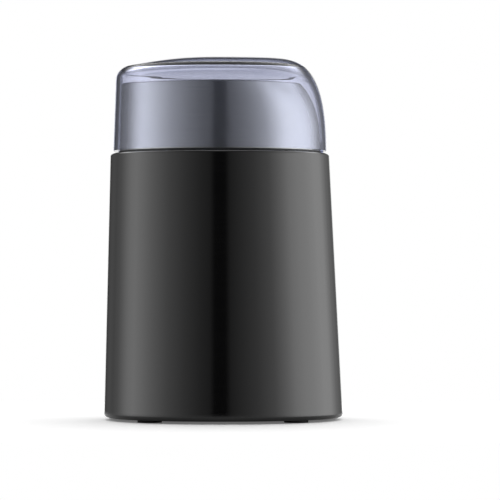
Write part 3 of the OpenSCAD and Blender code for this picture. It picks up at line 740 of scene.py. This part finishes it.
@dataclass(frozen=True)
class Gloss:
    """Polished black housing plastic: nearly mirror-smooth, with the slow waviness
    of a moulded wall, faint wiping marks and a duller band along its lowest edge.

    Wipes is the stretch of the marks, and wiped their change of the roughness.
    """

    name: str
    colour: Colour
    roughness: float = 0.1
    varied: Pair = (0.9, 1.15)
    wave: Pair = (0.00006, 0.35)
    wave_scale: float = 24.0
    grain: Pair = (0.000003, 0.4)
    grain_scale: float = 1500.0
    wipes: Triple = (60.0, 60.0, 900.0)
    wiped: Pair = (-0.025, 0.03)
    worn_below: float = 0.004
    worn: float = 0.12
    refraction: float = 1.5
    coat: float = 0.75
    coat_roughness: float = 0.05

    def material(self) -> bpy.types.Material:
        """Builds the material.

        Returns:
            The polished plastic.
        """
        tree = Tree(self.name)
        at = tree.place()
        slow = tree.noise(at, self.wave_scale, detail=3.0)
        wipes = tree.noise(tree.place(self.wipes), 1.0, detail=3.0)
        fine = tree.noise(at, self.grain_scale, detail=2.0)
        height = tree.add("SeparateXYZ", {"Vector": at}).outputs["Z"]
        worn = tree.add("MapRange", {
            "Value": height, "From Min": self.worn_below, "From Max": self.worn_below / 3,
            "To Min": 0.0, "To Max": self.worn,
        }).outputs[0]
        base = tree.vary(wipes, self.roughness, self.wiped)
        relief = tree.bump(fine, *self.grain, tree.bump(slow, *self.wave))
        return tree.close({
            "Base Color": tree.shades(slow, self.colour, self.varied),
            "Roughness": tree.math("ADD", base, worn),
            "Normal": relief,
            "IOR": self.refraction,
            "Coat Weight": self.coat,
            "Coat Roughness": self.coat_roughness,
            "Coat IOR": self.refraction,
        })


@dataclass(frozen=True)
class Metal:
    """Metal with the fine lines of its working: drawn, ground or turned.

    The lines run along the axes whose stretch is small. Haze is the share of a
    satin surface that scatters light like paint.
    """

    name: str
    colour: Colour
    roughness: float
    stretch: Triple = (30.0, 30.0, 4200.0)
    line: float = 0.000006
    line_share: float = 0.5
    slow_scale: float = 55.0
    uneven: float = 0.05
    varied: Pair = (0.9, 1.06)
    haze: float = 0.0

    def material(self) -> bpy.types.Material:
        """Builds the material.

        Returns:
            The metal.
        """
        tree = Tree(self.name)
        lines = tree.noise(tree.place(self.stretch), 1.0, detail=5.0)
        slow = tree.noise(tree.place(), self.slow_scale)
        mean = tree.math("MULTIPLY", tree.math("ADD", lines, slow), 0.5)
        return tree.close({
            "Base Color": tree.shades(lines, self.colour, self.varied),
            "Metallic": 1.0 - self.haze,
            "Roughness": tree.vary(mean, self.roughness, (-self.uneven, self.uneven)),
            "Normal": tree.bump(lines, self.line, self.line_share),
        })


@dataclass(frozen=True)
class Rubber:
    """Matt rubber with a fine skin and a dusty lift of colour; where it is dusty its
    roughness changes too."""

    name: str
    colour: Colour = (0.022, 0.022, 0.023)
    roughness: float = 0.78
    dusty: Pair = (-0.06, 0.08)
    dust_scale: float = 120.0
    skin: Pair = (0.00002, 0.6)
    skin_scale: float = 4200.0
    varied: Pair = (0.8, 1.5)

    def material(self) -> bpy.types.Material:
        """Builds the material.

        Returns:
            The rubber.
        """
        tree = Tree(self.name)
        at = tree.place()
        slow = tree.noise(at, self.dust_scale, detail=5.0)
        fine = tree.noise(at, self.skin_scale, detail=2.0)
        return tree.close({
            "Base Color": tree.shades(slow, self.colour, self.varied),
            "Roughness": tree.vary(slow, self.roughness, self.dusty),
            "Normal": tree.bump(fine, *self.skin),
        })


@dataclass(frozen=True)
class Stacked:
    """Varnished stack of thin steel sheets: level lines, one for each sheet."""

    name: str
    colour: Colour = (0.16, 0.165, 0.17)
    sheet: float = 0.0005
    wander: float = 0.15
    ridge: Pair = (0.00006, 0.7)
    slow_scale: float = 160.0
    varied: Pair = (0.7, 1.4)
    metallic: float = 0.8
    roughness: Pair = (0.38, 0.6)

    def material(self) -> bpy.types.Material:
        """Builds the material.

        Returns:
            The stack of sheets.
        """
        tree = Tree(self.name)
        at = tree.place()
        bands = tree.wave(at, self.sheet, self.wander, wave_type="BANDS", bands_direction="Z")
        slow = tree.noise(at, self.slow_scale, detail=5.0)
        return tree.close({
            "Base Color": tree.shades(slow, self.colour, self.varied),
            "Metallic": self.metallic,
            "Roughness": tree.spread(slow, *self.roughness),
            "Normal": tree.bump(bands, *self.ridge),
        })


@dataclass(frozen=True)
class Wound:
    """Enamelled wire wound round the shaft: rings of one wire's thickness."""

    name: str
    centre: Triple
    colour: Colour = (0.45, 0.17, 0.06)
    wire: float = 0.0005
    stretch: Triple = (1.0, 1.0, 0.45)
    wander: float = 0.6
    ridge: Pair = (0.0002, 0.8)
    slow_scale: float = 220.0
    varied: Pair = (0.7, 1.3)
    metallic: float = 0.75
    roughness: Pair = (0.25, 0.42)

    def material(self) -> bpy.types.Material:
        """Builds the material.

        Returns:
            The winding.
        """
        tree = Tree(self.name)
        at = tree.place(self.stretch, self.centre)
        rings = tree.wave(
            at, self.wire, self.wander, 1.0, wave_type="RINGS", rings_direction="SPHERICAL",
        )
        slow = tree.noise(at, self.slow_scale)
        return tree.close({
            "Base Color": tree.shades(slow, self.colour, self.varied),
            "Metallic": self.metallic,
            "Roughness": tree.spread(slow, *self.roughness),
            "Normal": tree.bump(rings, *self.ridge),
        })


@dataclass(frozen=True)
class Clear:
    """Clear moulded plastic with a smoke-blue tint that deepens with its thickness."""

    name: str
    tint: Colour
    density: float
    roughness: Pair = (0.01, 0.032)
    refraction: float = 1.49
    surface: tuple[Colour, Colour] = ((0.965, 0.965, 0.985), (0.985, 0.985, 0.995))
    wave: Pair = (0.00003, 0.3)
    wave_scale: float = 30.0

    def material(self) -> bpy.types.Material:
        """Builds the material.

        Returns:
            The clear plastic.
        """
        tree = Tree(self.name)
        at = tree.place()
        slow = tree.noise(at, self.wave_scale)
        inside = tree.add("VolumeAbsorption", {"Color": (*self.tint, 1.0), "Density": self.density})
        tree.links.new(inside.outputs[0], tree.out.inputs["Volume"])
        return tree.close({
            "Base Color": tree.tint(slow, *self.surface),
            "Roughness": tree.spread(slow, *self.roughness),
            "Transmission Weight": 1.0,
            "IOR": self.refraction,
            "Normal": tree.bump(slow, *self.wave),
        })


# -------------------------------------------------------------------- pieces


def settle(piece: bpy.types.Object, material: bpy.types.Material, body: str, slot: str,
           *nodes: str) -> None:
    """Dresses a new piece, hangs it on the body that it rides on and hides the nodes that it stands
    for.

    Args:
        piece: The new piece.
        material: Its finish.
        body: The body that it rides on.
        slot: The record's material slot; not used.
        nodes: The nodes that it stands for.
    """
    piece.data.materials.clear()
    piece.data.materials.append(material)
    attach(piece, body)
    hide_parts(*nodes)


@dataclass
class HousingShell:
    """Glossy oval housing with its rebate, screw columns and ears.

    Lengths are in mm. A column's web and an ear's arm have a length, a width and
    how far out they stand. The inlet's seat is cut this far inwards and outwards
    from its face. Steps are the parts that a curve or a wall is split into.
    """

    outline: Outline
    wall: float = 2.4
    bottom_radius: float = 2.0
    shoulder_radius: float = 1.2
    rim_width: float = 1.5
    deck_plate: float = 2.4
    around: int = 288
    column_at: Pair = (42.6, 17.0)
    column_radius: float = 4.0
    column_levels: Pair = (7.2, 33.2)
    column_web: Triple = (2.8, 1.6, 4.4)
    pilot: float = 1.5
    pilot_depth: float = 16.0
    ear_at: Pair = (33.73, 24.7)
    ear_z: float = 103.2
    ear_height: float = 3.0
    ear_radius: float = 3.7
    ear_bore: float = 1.7
    ear_arm: Triple = (3.2, 5.92, 3.4)
    gland_seat: float = 42.1
    gland_z: float = 14.2
    gland_barrel: float = 5.55
    gland_flange: float = 7.95
    gland_cut: Pair = (9.0, 4.0)
    corner_steps: int = 8
    wall_steps: int = 40
    rebate_steps: int = 4
    hole_steps: int = 32
    seat_steps: int = 72

    def skin_profile(self) -> tuple[Array, Array]:
        """The wall's section, once round, with quarter rounds at the bottom and the
        shoulder: radius * (1 - sine) in and radius * (1 - cosine) up.

        Returns:
            Its levels, and its insets from the outer face.
        """
        o = self.outline
        plate = o.shoulder_z - self.deck_plate
        a = np.radians(np.linspace(0.0, 90.0, self.corner_steps + 1))
        by_cos, by_sin = 1 - np.cos(a), 1 - np.sin(a)
        low = np.stack([
            o.foot_height + self.bottom_radius * by_cos, self.bottom_radius * by_sin,
        ], -1)
        high = np.stack([
            o.shoulder_z - self.shoulder_radius * by_sin, self.shoulder_radius * by_cos,
        ], -1)
        wall = subdivide(np.array([low[-1], high[0]]), self.wall_steps)[1:-1]
        inner = subdivide(np.array([
            [o.shoulder_z, self.rim_width], [plate, self.rim_width], [plate, self.wall],
            [o.foot_height, self.wall],
        ]), self.rebate_steps)
        rows = np.vstack([low, wall, high, inner])
        return rows[:, 0], rows[:, 1]

    def column(self, side_x: int, side_y: int) -> list[bpy.types.Mesh]:
        """One screw column and the web that ties it to the wall.

        Args:
            side_x: -1 at the left, 1 at the right.
            side_y: -1 at the front, 1 at the back.

        Returns:
            Their meshes.
        """
        x, y = side_x * self.column_at[0], side_y * self.column_at[1]
        z0, z1 = self.column_levels
        r, bore, deep, axis = self.column_radius, self.pilot, z0 + self.pilot_depth, 0.001
        tube = np.array([[bore, z0], [r, z0], [r, z1], [axis, z1], [axis, deep], [bore, deep]])
        length, width, out = self.column_web
        return [
            surface("column", lathe(tube, self.hole_steps, (x, y))),
            block((x + side_x * out, y, (z0 + z1) / 2), (length, width, z1 - z0)),
        ]

    def ear(self, side_x: int, side_y: int) -> list[bpy.types.Mesh]:
        """One ear with its screw hole, and the arm that ties it to the wall.

        Args:
            side_x: -1 at the left, 1 at the right.
            side_y: -1 at the front, 1 at the back.

        Returns:
            Their meshes.
        """
        reach = self.outline.body(self.ear_z)
        x = float(reach.low + reach.high) / 2 + side_x * self.ear_at[0]
        y = side_y * self.ear_at[1]
        z0, z1 = self.ear_z, self.ear_z + self.ear_height
        r, bore = self.ear_radius, self.ear_bore
        ring = np.array([[bore, z0], [r, z0], [r, z1], [bore, z1]])
        slant = math.atan2(side_y, side_x)
        length, width, out = self.ear_arm
        middle = (x + out * math.cos(slant), y + out * math.sin(slant), (z0 + z1) / 2)
        return [
            surface("ear", lathe(ring, self.hole_steps, (x, y))),
            block(middle, (length, width, self.ear_height), slant),
        ]

    def build(self) -> bpy.types.Object:
        """Builds the housing and opens its seat for the inlet bush.

        Returns:
            The housing.
        """
        z, d = self.skin_profile()
        grid = self.outline.rings(self.outline.body(z).inset(d), z, self.around)
        meshes = [surface("housing_wall", grid)]
        for side_x in (-1, 1):
            for side_y in (-1, 1):
                meshes += self.column(side_x, side_y) + self.ear(side_x, side_y)
        piece = place("housing_shell", meshes[:1])
        inwards, outwards = self.gland_cut
        for radius, start in (
            (self.gland_barrel, self.gland_seat - inwards), (self.gland_flange, self.gland_seat),
        ):
            side = np.array([[radius, start], [radius, self.gland_seat + outwards]])
            rod = lathe(side, self.seat_steps, (0.0, 0.0))
            rod = np.stack([rod[..., 0], rod[..., 2], rod[..., 1] + self.gland_z], -1)
            carve(piece, surface("rod", rod, Ends.POLES), Cut.AWAY)
        return place("housing_shell", [piece_mesh(piece), *meshes[1:]])

    def dress(self, piece: bpy.types.Object, finish: Gloss) -> None:
        """Gives the housing its finish and its place in the assembly."""
        settle(piece, finish.material(), "root", "black_gloss", "housing")


@dataclass
class LidShell:
    """Clear lid: crown, rounded right end, wall and tongue.

    Lengths are in mm. The rows from eased_from on, near the crown's edge, are
    eased this many times. The crown's rows close in to the share crown_end.
    """

    outline: Outline
    around: int = 288
    wall_rows: int = 64
    crown_rows: int = 44
    eased_from: int = 40
    easings: int = 6
    crown_end: float = 0.01
    tongue_width: float = 8.0
    tongue_wall: float = 1.3
    tongue_root: float = 4.0
    tongue_z: float = 117.4
    tongue_x: float = 45.25

    def levels(self, d: float) -> Array:
        """Levels of the wall from its foot to the crown's edge, closer at the top:
        the share of the height is the sine of an even angle."""
        low, high = self.outline.lid_z, self.outline.crown_z - d
        return low + (high - low) * np.sin(np.linspace(0.0, np.pi / 2, self.wall_rows))

    def crown(self, d: float) -> Array:
        """Rows of the crown from its edge to near its middle: left end, front and
        back close in by s while the level climbs by the rise times 1 - s squared.

        Args:
            d: Depth under the outer face, in mm.

        Returns:
            An array of rows x around x 3.
        """
        o = self.outline
        s = np.linspace(1.0, self.crown_end, self.crown_rows)[1:]
        edge = o.lid(o.crown_z - d, d)
        z = o.lid_top - d - o.crown_rise * s * s
        left = o.axis_x - (o.axis_x - edge.low) * s
        front = o.axis_x - (o.axis_x + o.shoulder_shift) * s
        return o.rings(Reach(left, o.lid_right(z, d), edge.depth * s), z, self.around, front)

    def face(self, d: float) -> Array:
        """Rows of one face from its foot to the middle of the crown.

        The turn from wall to crown is eased: each row there becomes half itself
        and a quarter of each neighbour, a few times over.

        Args:
            d: Depth under the outer face, in mm.

        Returns:
            An array of rows x around x 3.
        """
        o, z, first = self.outline, self.levels(d), self.eased_from
        rows = np.vstack([o.rings(o.lid(z, d), z, self.around), self.crown(d)])
        for _ in range(self.easings):
            rows[first:-1] = (rows[first - 1:-2] + 2 * rows[first:-1] + rows[first + 1:]) / 4
        return rows

    def build(self) -> bpy.types.Object:
        """Builds the lid with its tongue as one closed shell.

        Returns:
            The lid.
        """
        outer, inner = self.face(0.0), self.face(self.outline.lid_wall)
        shell = surface("lid_wall", np.vstack([inner[::-1], outer]), Ends.POLES)
        piece = place("lid_shell", [shell])
        top = self.outline.lid_z + self.tongue_root
        tongue = block(
            (self.tongue_x, 0.0, (self.tongue_z + top) / 2),
            (self.tongue_wall, self.tongue_width, top - self.tongue_z),
        )
        carve(piece, tongue, Cut.ADD)
        return place("lid_shell", [piece_mesh(piece)])

    def dress(self, piece: bpy.types.Object, finish: Clear) -> None:
        """Gives the lid its finish and its place in the assembly."""
        settle(piece, finish.material(), "lid", "smoked_clear", "lid")


@dataclass
class NeckSleeve:
    """Satin steel sleeve round the neck. Lengths in mm."""

    outline: Outline
    wall: float = 0.8
    rim_wall: float = 0.8
    plinth_drop: float = 0.2
    around: int = 288
    rows: int = 48

    def build(self) -> bpy.types.Object:
        """Builds the sleeve: its outer face up, then its inner face down.

        Returns:
            The sleeve.
        """
        o = self.outline
        z = np.linspace(o.lid_z - self.plinth_drop, o.rim_z - self.rim_wall, self.rows)
        outer = o.rings(o.neck(z), z, self.around)
        inner = o.rings(o.neck(z, self.wall), z, self.around)[::-1]
        return place("neck_sleeve", [surface("neck_sleeve", np.vstack([outer, inner]))])

    def dress(self, piece: bpy.types.Object, finish: Metal) -> None:
        """Gives the sleeve its finish and its place in the assembly."""
        settle(piece, finish.material(), "root", "satin_steel", "neck_band")


@dataclass
class BowlCup:
    """Steel cup with a rolled rim and a hole for the shaft's hub.

    Lengths are in mm. The rim is rounded by rim_out at its outer edge and by
    rim_in at the mouth. The even rows of the wall start and end this far from the
    corner and the rim.
    """

    outline: Outline
    wall: float = 0.8
    hub_hole: float = 9.15
    rim_ledge: float = 0.3
    rim_out: float = 0.4
    rim_in: float = 0.6
    even_from: Pair = (4.0, 1.0)
    around: int = 288
    corner_steps: int = 21
    even_rows: int = 16
    floor_steps: int = 7
    rim_steps: int = 5

    def wall_rows(self, floor: float, d: float) -> Array:
        """Rows of one face from the floor's edge to just under the rim: their heights
        grow as the square of an even share round the corner, and evenly above it.

        Args:
            floor: Level of the face's floor, in mm.
            d: Depth outside the inner face, in mm.

        Returns:
            An array of rows x around x 3.
        """
        o, corner = self.outline, self.outline.bowl_corner
        over, under = self.even_from
        bend = (np.linspace(0.0, 1.0, self.corner_steps + 1) ** 2)[1:]
        low = floor + (o.floor_z + corner - floor) * bend
        high = o.floor_z + np.linspace(corner + over, o.bowl_depth - under, self.even_rows)
        z = np.concatenate([low, high])
        return o.rings(o.bowl(z, d), z, self.around)

    def floor_rows(self, edge: Array, z: float) -> Array:
        """Rows of the floor: each point moves evenly from the wall's foot to the hub's
        round hole at the same angle about the shaft.

        Args:
            edge: The wall's lowest row.
            z: Level of the floor, in mm.

        Returns:
            An array of rows x around x 3, from the hole outwards.
        """
        centre = np.array([self.outline.axis_x, 0.0])
        a = np.arctan2(edge[:, 1] - centre[1], edge[:, 0] - centre[0])
        hole = centre + self.hub_hole * np.stack([np.cos(a), np.sin(a)], -1)
        t = np.linspace(0.0, 1.0, self.floor_steps + 1)[:, None, None]
        flat = edge[None, :, :2] * t + hole[None] * (1 - t)
        return np.concatenate([flat, np.full((*flat.shape[:2], 1), z)], -1)[:-1]

    def rim_rows(self) -> Array:
        """Rows of the rim: out to the sleeve, up round its outer edge by sine and
        cosine of a quarter turn, and down round the mouth by another.

        Returns:
            An array of rows x around x 3.
        """
        o = self.outline
        lip, mouth = o.neck(o.rim_z), o.bowl(o.rim_z)
        a = np.radians(np.linspace(0.0, 90.0, self.rim_steps + 1))
        under = np.array([o.rim_z - self.wall])
        edge = o.rim_z - self.rim_out * (1 - np.sin(a))
        fall = o.rim_z - self.rim_in * (1 - np.cos(a))
        return np.vstack([
            o.rings(o.bowl(under, self.wall), under, self.around),
            o.rings(lip.inset(self.rim_ledge), under, self.around),
            o.rings(lip.inset(self.rim_out * (1 - np.cos(a))), edge, self.around),
            o.rings(mouth.inset(self.rim_in * (np.sin(a) - 1)), fall, self.around),
        ])

    def build(self) -> bpy.types.Object:
        """Builds the cup: outer face up, rim, inner face down, floor and hole.

        Returns:
            The cup.
        """
        o = self.outline
        outer = self.wall_rows(o.floor_z - self.wall, self.wall)
        inner = self.wall_rows(o.floor_z, 0.0)
        rows = [
            self.floor_rows(outer[0], o.floor_z - self.wall), outer, self.rim_rows(),
            inner[::-1], self.floor_rows(inner[0], o.floor_z)[::-1],
        ]
        return place("bowl_cup", [surface("bowl_cup", np.vstack(rows))], crease=40.0)

    def dress(self, piece: bpy.types.Object, finish: Metal) -> None:
        """Gives the cup its finish and its place in the assembly."""
        settle(piece, finish.material(), "root", "satin_steel", "bowl")


@dataclass
class PlungerSpring:
    """Coil spring under the plunger; it closes up as the lid goes down. Lengths in mm."""

    middle: Pair = (43.25, 0.0)
    foot: float = 102.2
    radius: float = 2.15
    wire: float = 0.7
    length: float = 8.94
    turns: int = 5
    travel: float = 1.0
    slack: float = 0.02
    turn_steps: int = 28
    wire_steps: int = 12

    def build(self) -> bpy.types.Object:
        """Sweeps the wire's round section along its coil.

        A point lies radius + r cos b from the middle at angle a, and r + rise + r sin b
        above the foot: r is half the wire, b the angle round it, and the rise is even
        along a.

        Returns:
            The spring.
        """
        a = np.linspace(0.0, 2 * np.pi * self.turns, self.turn_steps * self.turns + 1)[:, None]
        b = np.linspace(0.0, 2 * np.pi, self.wire_steps, endpoint=False)[None, :]
        r = self.wire / 2
        out = self.radius + r * np.cos(b)
        up = self.foot + r + (self.length - self.wire) * a / a[-1] + r * np.sin(b)
        x, y = self.middle
        grid = np.stack([x + out * np.cos(a), y + out * np.sin(a), up], -1)
        return place("plunger_spring", [surface("plunger_spring", grid, Ends.POLES)], crease=60.0)

    def dress(self, piece: bpy.types.Object, finish: Metal) -> None:
        """Dresses the spring and gives it a mesh of its own.

        Args:
            piece: The spring.
            finish: Its wire's finish.
        """
        settle(piece, finish.material(), "root", "spring_wire", "pusher_spring")
        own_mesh(piece)


# -------------------------------------------------------------- carried nodes


@dataclass
class InnerWorks:
    """Finishes of the nodes that keep their own shape, by material slot.

    The windings' middle is at this level, in mm.
    """

    outline: Outline
    winding_z: float = 60.0

    def finishes(self) -> dict[str, Moulded | Metal | Rubber | Stacked | Wound]:
        """Chooses a finish for every material slot of the record.

        Returns:
            Slot name to finish.
        """
        middle = (self.outline.axis_x * MM, 0.0, self.winding_z * MM)
        sintered, cast, ground = 3 * (2400.0,), 3 * (1500.0,), (2600.0, 220.0, 220.0)
        return {
            "black_gloss": Moulded("housing plastic", (0.018, 0.018, 0.02), 0.2),
            "black_satin": Moulded("satin black plastic", (0.021, 0.021, 0.023), 0.42),
            "black_rubber": Rubber("black rubber"),
            "satin_steel": Metal("satin steel inside", (0.62, 0.63, 0.65), 0.3),
            "blade_steel": Metal("ground blade steel", (0.66, 0.67, 0.69), 0.24, ground),
            "ground_steel": Metal("ground shaft steel", (0.56, 0.57, 0.58), 0.22, TURNED),
            "zinc_steel": Metal("zinc-plated screws", (0.6, 0.62, 0.64), 0.3, TURNED),
            "spring_wire": Metal("spring wire", (0.45, 0.46, 0.48), 0.3, TURNED),
            "lamination_steel": Stacked("varnished steel sheets"),
            "enamelled_copper": Wound("enamelled copper wire", middle),
            "bare_copper": Metal("turned copper", (0.72, 0.38, 0.24), 0.27, TURNED),
            "sintered_bronze": Metal("sintered bronze", (0.5, 0.36, 0.18), 0.45, sintered, 0.00002),
            "cast_aluminium": Metal("die-cast aluminium", (0.55, 0.56, 0.57), 0.48, cast, 0.00003),
            "ivory_plastic": Moulded("ivory plastic", (0.66, 0.62, 0.5), 0.4),
            "brown_plastic": Moulded("brown phenolic plastic", (0.12, 0.05, 0.025), 0.38),
            "switch_plastic": Moulded("switch case plastic", (0.03, 0.03, 0.034), 0.4),
            "red_plastic": Moulded("red button plastic", (0.42, 0.035, 0.025), 0.3),
            "carbon": Moulded("pressed carbon", (0.045, 0.045, 0.05), 0.55, 0.08, 0.00003),
            "smoked_clear": Moulded("clear plastic", (0.6, 0.6, 0.7), 0.1),
        }

    def dress(self, record: dict, nodes: dict[str, bpy.types.Object]) -> None:
        """Dresses every node from the record's slots.

        Args:
            record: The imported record.
            nodes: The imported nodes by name.
        """
        made = {slot: finish.material() for slot, finish in self.finishes().items()}
        for row in record["subparts"]:
            node = nodes[row["node"]]
            node.data.materials.clear()
            node.data.materials.append(made[row["material_slot"]])
            log.info("dressed %s in %s", row["node"], row["material_slot"])


# --------------------------------------------------------------------- stage


@dataclass
class Studio:
    """Pale floor, a soft room of light and the camera. Lengths are in metres.

    The room is a ring of (degrees, level): the light that comes from each side,
    counted from the camera's side. The backdrop is half as wide and as high as
    these degrees.
    """

    eye: Triple = (0.0122, -1.13, 0.0642)
    pitch: float = 0.7
    lens: float = 176.4
    sensor: float = 36.0
    floor_half: float = 0.16
    floor_paper: float = 0.55
    floor_mirrored: Pair = (0.05, 0.11)
    floor_glow: float = 0.13
    room: tuple[Pair, ...] = (
        (-180.0, 0.05), (-158.0, 0.06), (-137.0, 0.21), (-125.0, 0.27), (-113.0, 0.47),
        (-105.0, 0.75), (-98.0, 1.1), (-90.0, 1.5), (-81.0, 1.75), (-70.0, 1.58),
        (-55.0, 1.12), (-40.0, 0.68), (-24.0, 0.37), (-12.0, 0.2), (-4.8, 0.13),
        (-3.6, 0.02), (3.6, 0.02), (4.8, 0.13), (14.0, 0.26), (24.0, 0.41),
        (38.0, 0.74), (50.0, 1.35), (60.0, 1.92), (72.0, 2.2), (90.0, 2.2),
        (102.0, 2.05), (116.0, 1.5), (125.0, 0.92), (135.0, 0.48), (149.0, 0.22),
        (180.0, 0.05),
    )
    room_peak: float = 2.4
    backdrop: Pair = (15.5, 12.5)
    backdrop_blur: Pair = (0.03, 0.05)
    overhead: float = 1.2
    overhead_lean: float = 1.6
    overhead_least: float = 0.05
    wall_fade: Pair = (0.32, 0.6)
    wall_lift: float = 0.1

    def ring(self, tree: Tree, angle: Socket) -> Socket:
        """The room's level by the angle, as a share of its peak.

        Args:
            tree: The world's tree.
            angle: Angle from the camera's side, in radians.

        Returns:
            The colour of the ring at that angle.
        """
        share = tree.add("MapRange", {"Value": angle, "From Min": -math.pi, "From Max": math.pi})
        ramp = tree.add("ValToRGB", {"Fac": share.outputs[0]})
        stops = ramp.color_ramp.elements
        for degrees, level in self.room:
            place_on = (degrees + 180.0) / 360.0
            stop = {0.0: stops[0], 1.0: stops[-1]}.get(place_on) or stops.new(place_on)
            grey = level / self.room_peak
            stop.color = (grey, grey, grey, 1.0)
        return ramp.outputs["Color"]

    def world(self) -> None:
        """Lights the room by the angle round the object from the camera's side: a
        dark slit at the camera, a wide bright wall on each side, and dark behind but
        for the white backdrop. Higher up it blends to an overhead level that grows
        towards the back, by 1 + lean * Y."""
        tree = Tree("studio", world=True)
        bpy.context.scene.world = tree.owner
        way = tree.add("SeparateXYZ", {0: tree.add("TexCoord").outputs["Generated"]}).outputs
        angle = tree.math("ARCTAN2", way["X"], tree.math("MULTIPLY", way["Y"], -1.0))
        lift = tree.math("MULTIPLY", tree.math("MAXIMUM", way["Y"]), self.wall_lift)
        over = tree.rise(tree.math("SUBTRACT", way["Z"], lift), *self.wall_fade)
        lean = tree.math("ADD", tree.math("MULTIPLY", way["Y"], self.overhead_lean), 1.0)
        above = tree.math("MULTIPLY", tree.math("MAXIMUM", lean, self.overhead_least),
                          self.overhead / self.room_peak)
        mix = tree.add("Mix", {0: over, 6: self.ring(tree, angle), 7: above}, data_type="RGBA")
        room = tree.add("Background", {"Color": mix.outputs[2], "Strength": self.room_peak})
        white = tree.add("Background", {"Color": (1.0, 1.0, 1.0, 1.0), "Strength": 1.0})

        half, top = (math.radians(v) for v in self.backdrop)
        side, brim = self.backdrop_blur
        behind = tree.rise(tree.math("ABSOLUTE", angle), math.pi - half - side, math.pi - half)
        low = tree.rise(tree.math("ABSOLUTE", way["Z"]), math.sin(top) + brim, math.sin(top))
        path = tree.add("LightPath").outputs
        seen = tree.math("MAXIMUM", path["Is Glossy Ray"], path["Is Transmission Ray"])
        panel = tree.math("MULTIPLY", tree.math("MULTIPLY", behind, low), seen)
        bright = tree.math("MAXIMUM", panel, path["Is Camera Ray"])
        tree.end(tree.choose(bright, room, white))

    def floor(self) -> None:
        """Lays a pale floor that the camera sees as white but for shadows. In the
        gloss of the object it fades out softly with its distance from the middle."""
        h = self.floor_half / MM
        square = np.array([[-h, -h, 0.0], [h, -h, 0.0], [h, h, 0.0], [-h, h, 0.0]])
        mesh = mesh_from("floor", square, np.array([[0, 1, 2, 3]]))
        floor = bpy.data.objects.new("floor", mesh)
        bpy.context.scene.collection.objects.link(floor)

        tree = Tree("pale floor")
        paper = tree.add("BsdfDiffuse", {"Color": (*(3 * (self.floor_paper,)), 1.0)})
        here = tree.add("TexCoord").outputs["Object"]
        away = tree.add("VectorMath", {0: here}, operation="LENGTH")
        faded = tree.rise(away.outputs["Value"], *self.floor_mirrored)
        mirrored = tree.choose(faded, paper, tree.add("BsdfTransparent"))
        white = tree.add("BsdfDiffuse", {"Color": (1.0, 1.0, 1.0, 1.0)})
        glow = tree.add("Emission", {"Color": (1.0, 1.0, 1.0, 1.0), "Strength": self.floor_glow})
        seen = tree.add("AddShader", {0: white.outputs[0], 1: glow.outputs[0]})
        is_seen = tree.add("LightPath").outputs["Is Camera Ray"]
        mesh.materials.append(tree.end(tree.choose(is_seen, mirrored, seen)))

    def camera(self) -> None:
        """Sets the camera low in front of the grinder, tipped up a little."""
        data = bpy.data.cameras.new("camera")
        data.lens, data.sensor_width = self.lens, self.sensor
        camera = bpy.data.objects.new("camera", data)
        bpy.context.scene.collection.objects.link(camera)
        camera.matrix_world = Matrix.Translation(Vector(self.eye)) @ Matrix.Rotation(
            math.radians(90.0 + self.pitch), 4, "X"
        )
        bpy.context.scene.camera = camera

    def build(self) -> None:
        """Builds the whole stage and plain colour handling."""
        self.world()
        self.floor()
        self.camera()
        bpy.context.scene.view_settings.view_transform = "Standard"


# ---------------------------------------------------------------------- main


def main() -> None:
    """Builds and dresses every piece in order."""
    logging.basicConfig(level=logging.INFO, format="%(name)s: %(message)s")
    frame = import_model()
    Studio().build()
    outline = Outline()
    InnerWorks(outline).dress(frame["record"], frame["nodes"])
    for part, finish in (
        (HousingShell(outline), Gloss("gloss black housing", (0.002, 0.002, 0.0022))),
        (NeckSleeve(outline), Metal("satin neck steel", (0.6, 0.61, 0.585), 0.11, haze=0.29)),
        (BowlCup(outline), Metal("drawn bowl steel", (0.68, 0.68, 0.69), 0.2)),
        (LidShell(outline), Clear("smoked clear plastic", (0.5, 0.545, 0.76), 210.0)),
        (PlungerSpring(), Metal("wound spring wire", (0.45, 0.46, 0.48), 0.3, TURNED)),
    ):
        piece = part.build()
        part.dress(piece, finish)
        log.info("built %s with %d faces", piece.name, len(piece.data.polygons))


if __name__ == "__main__":
    main()
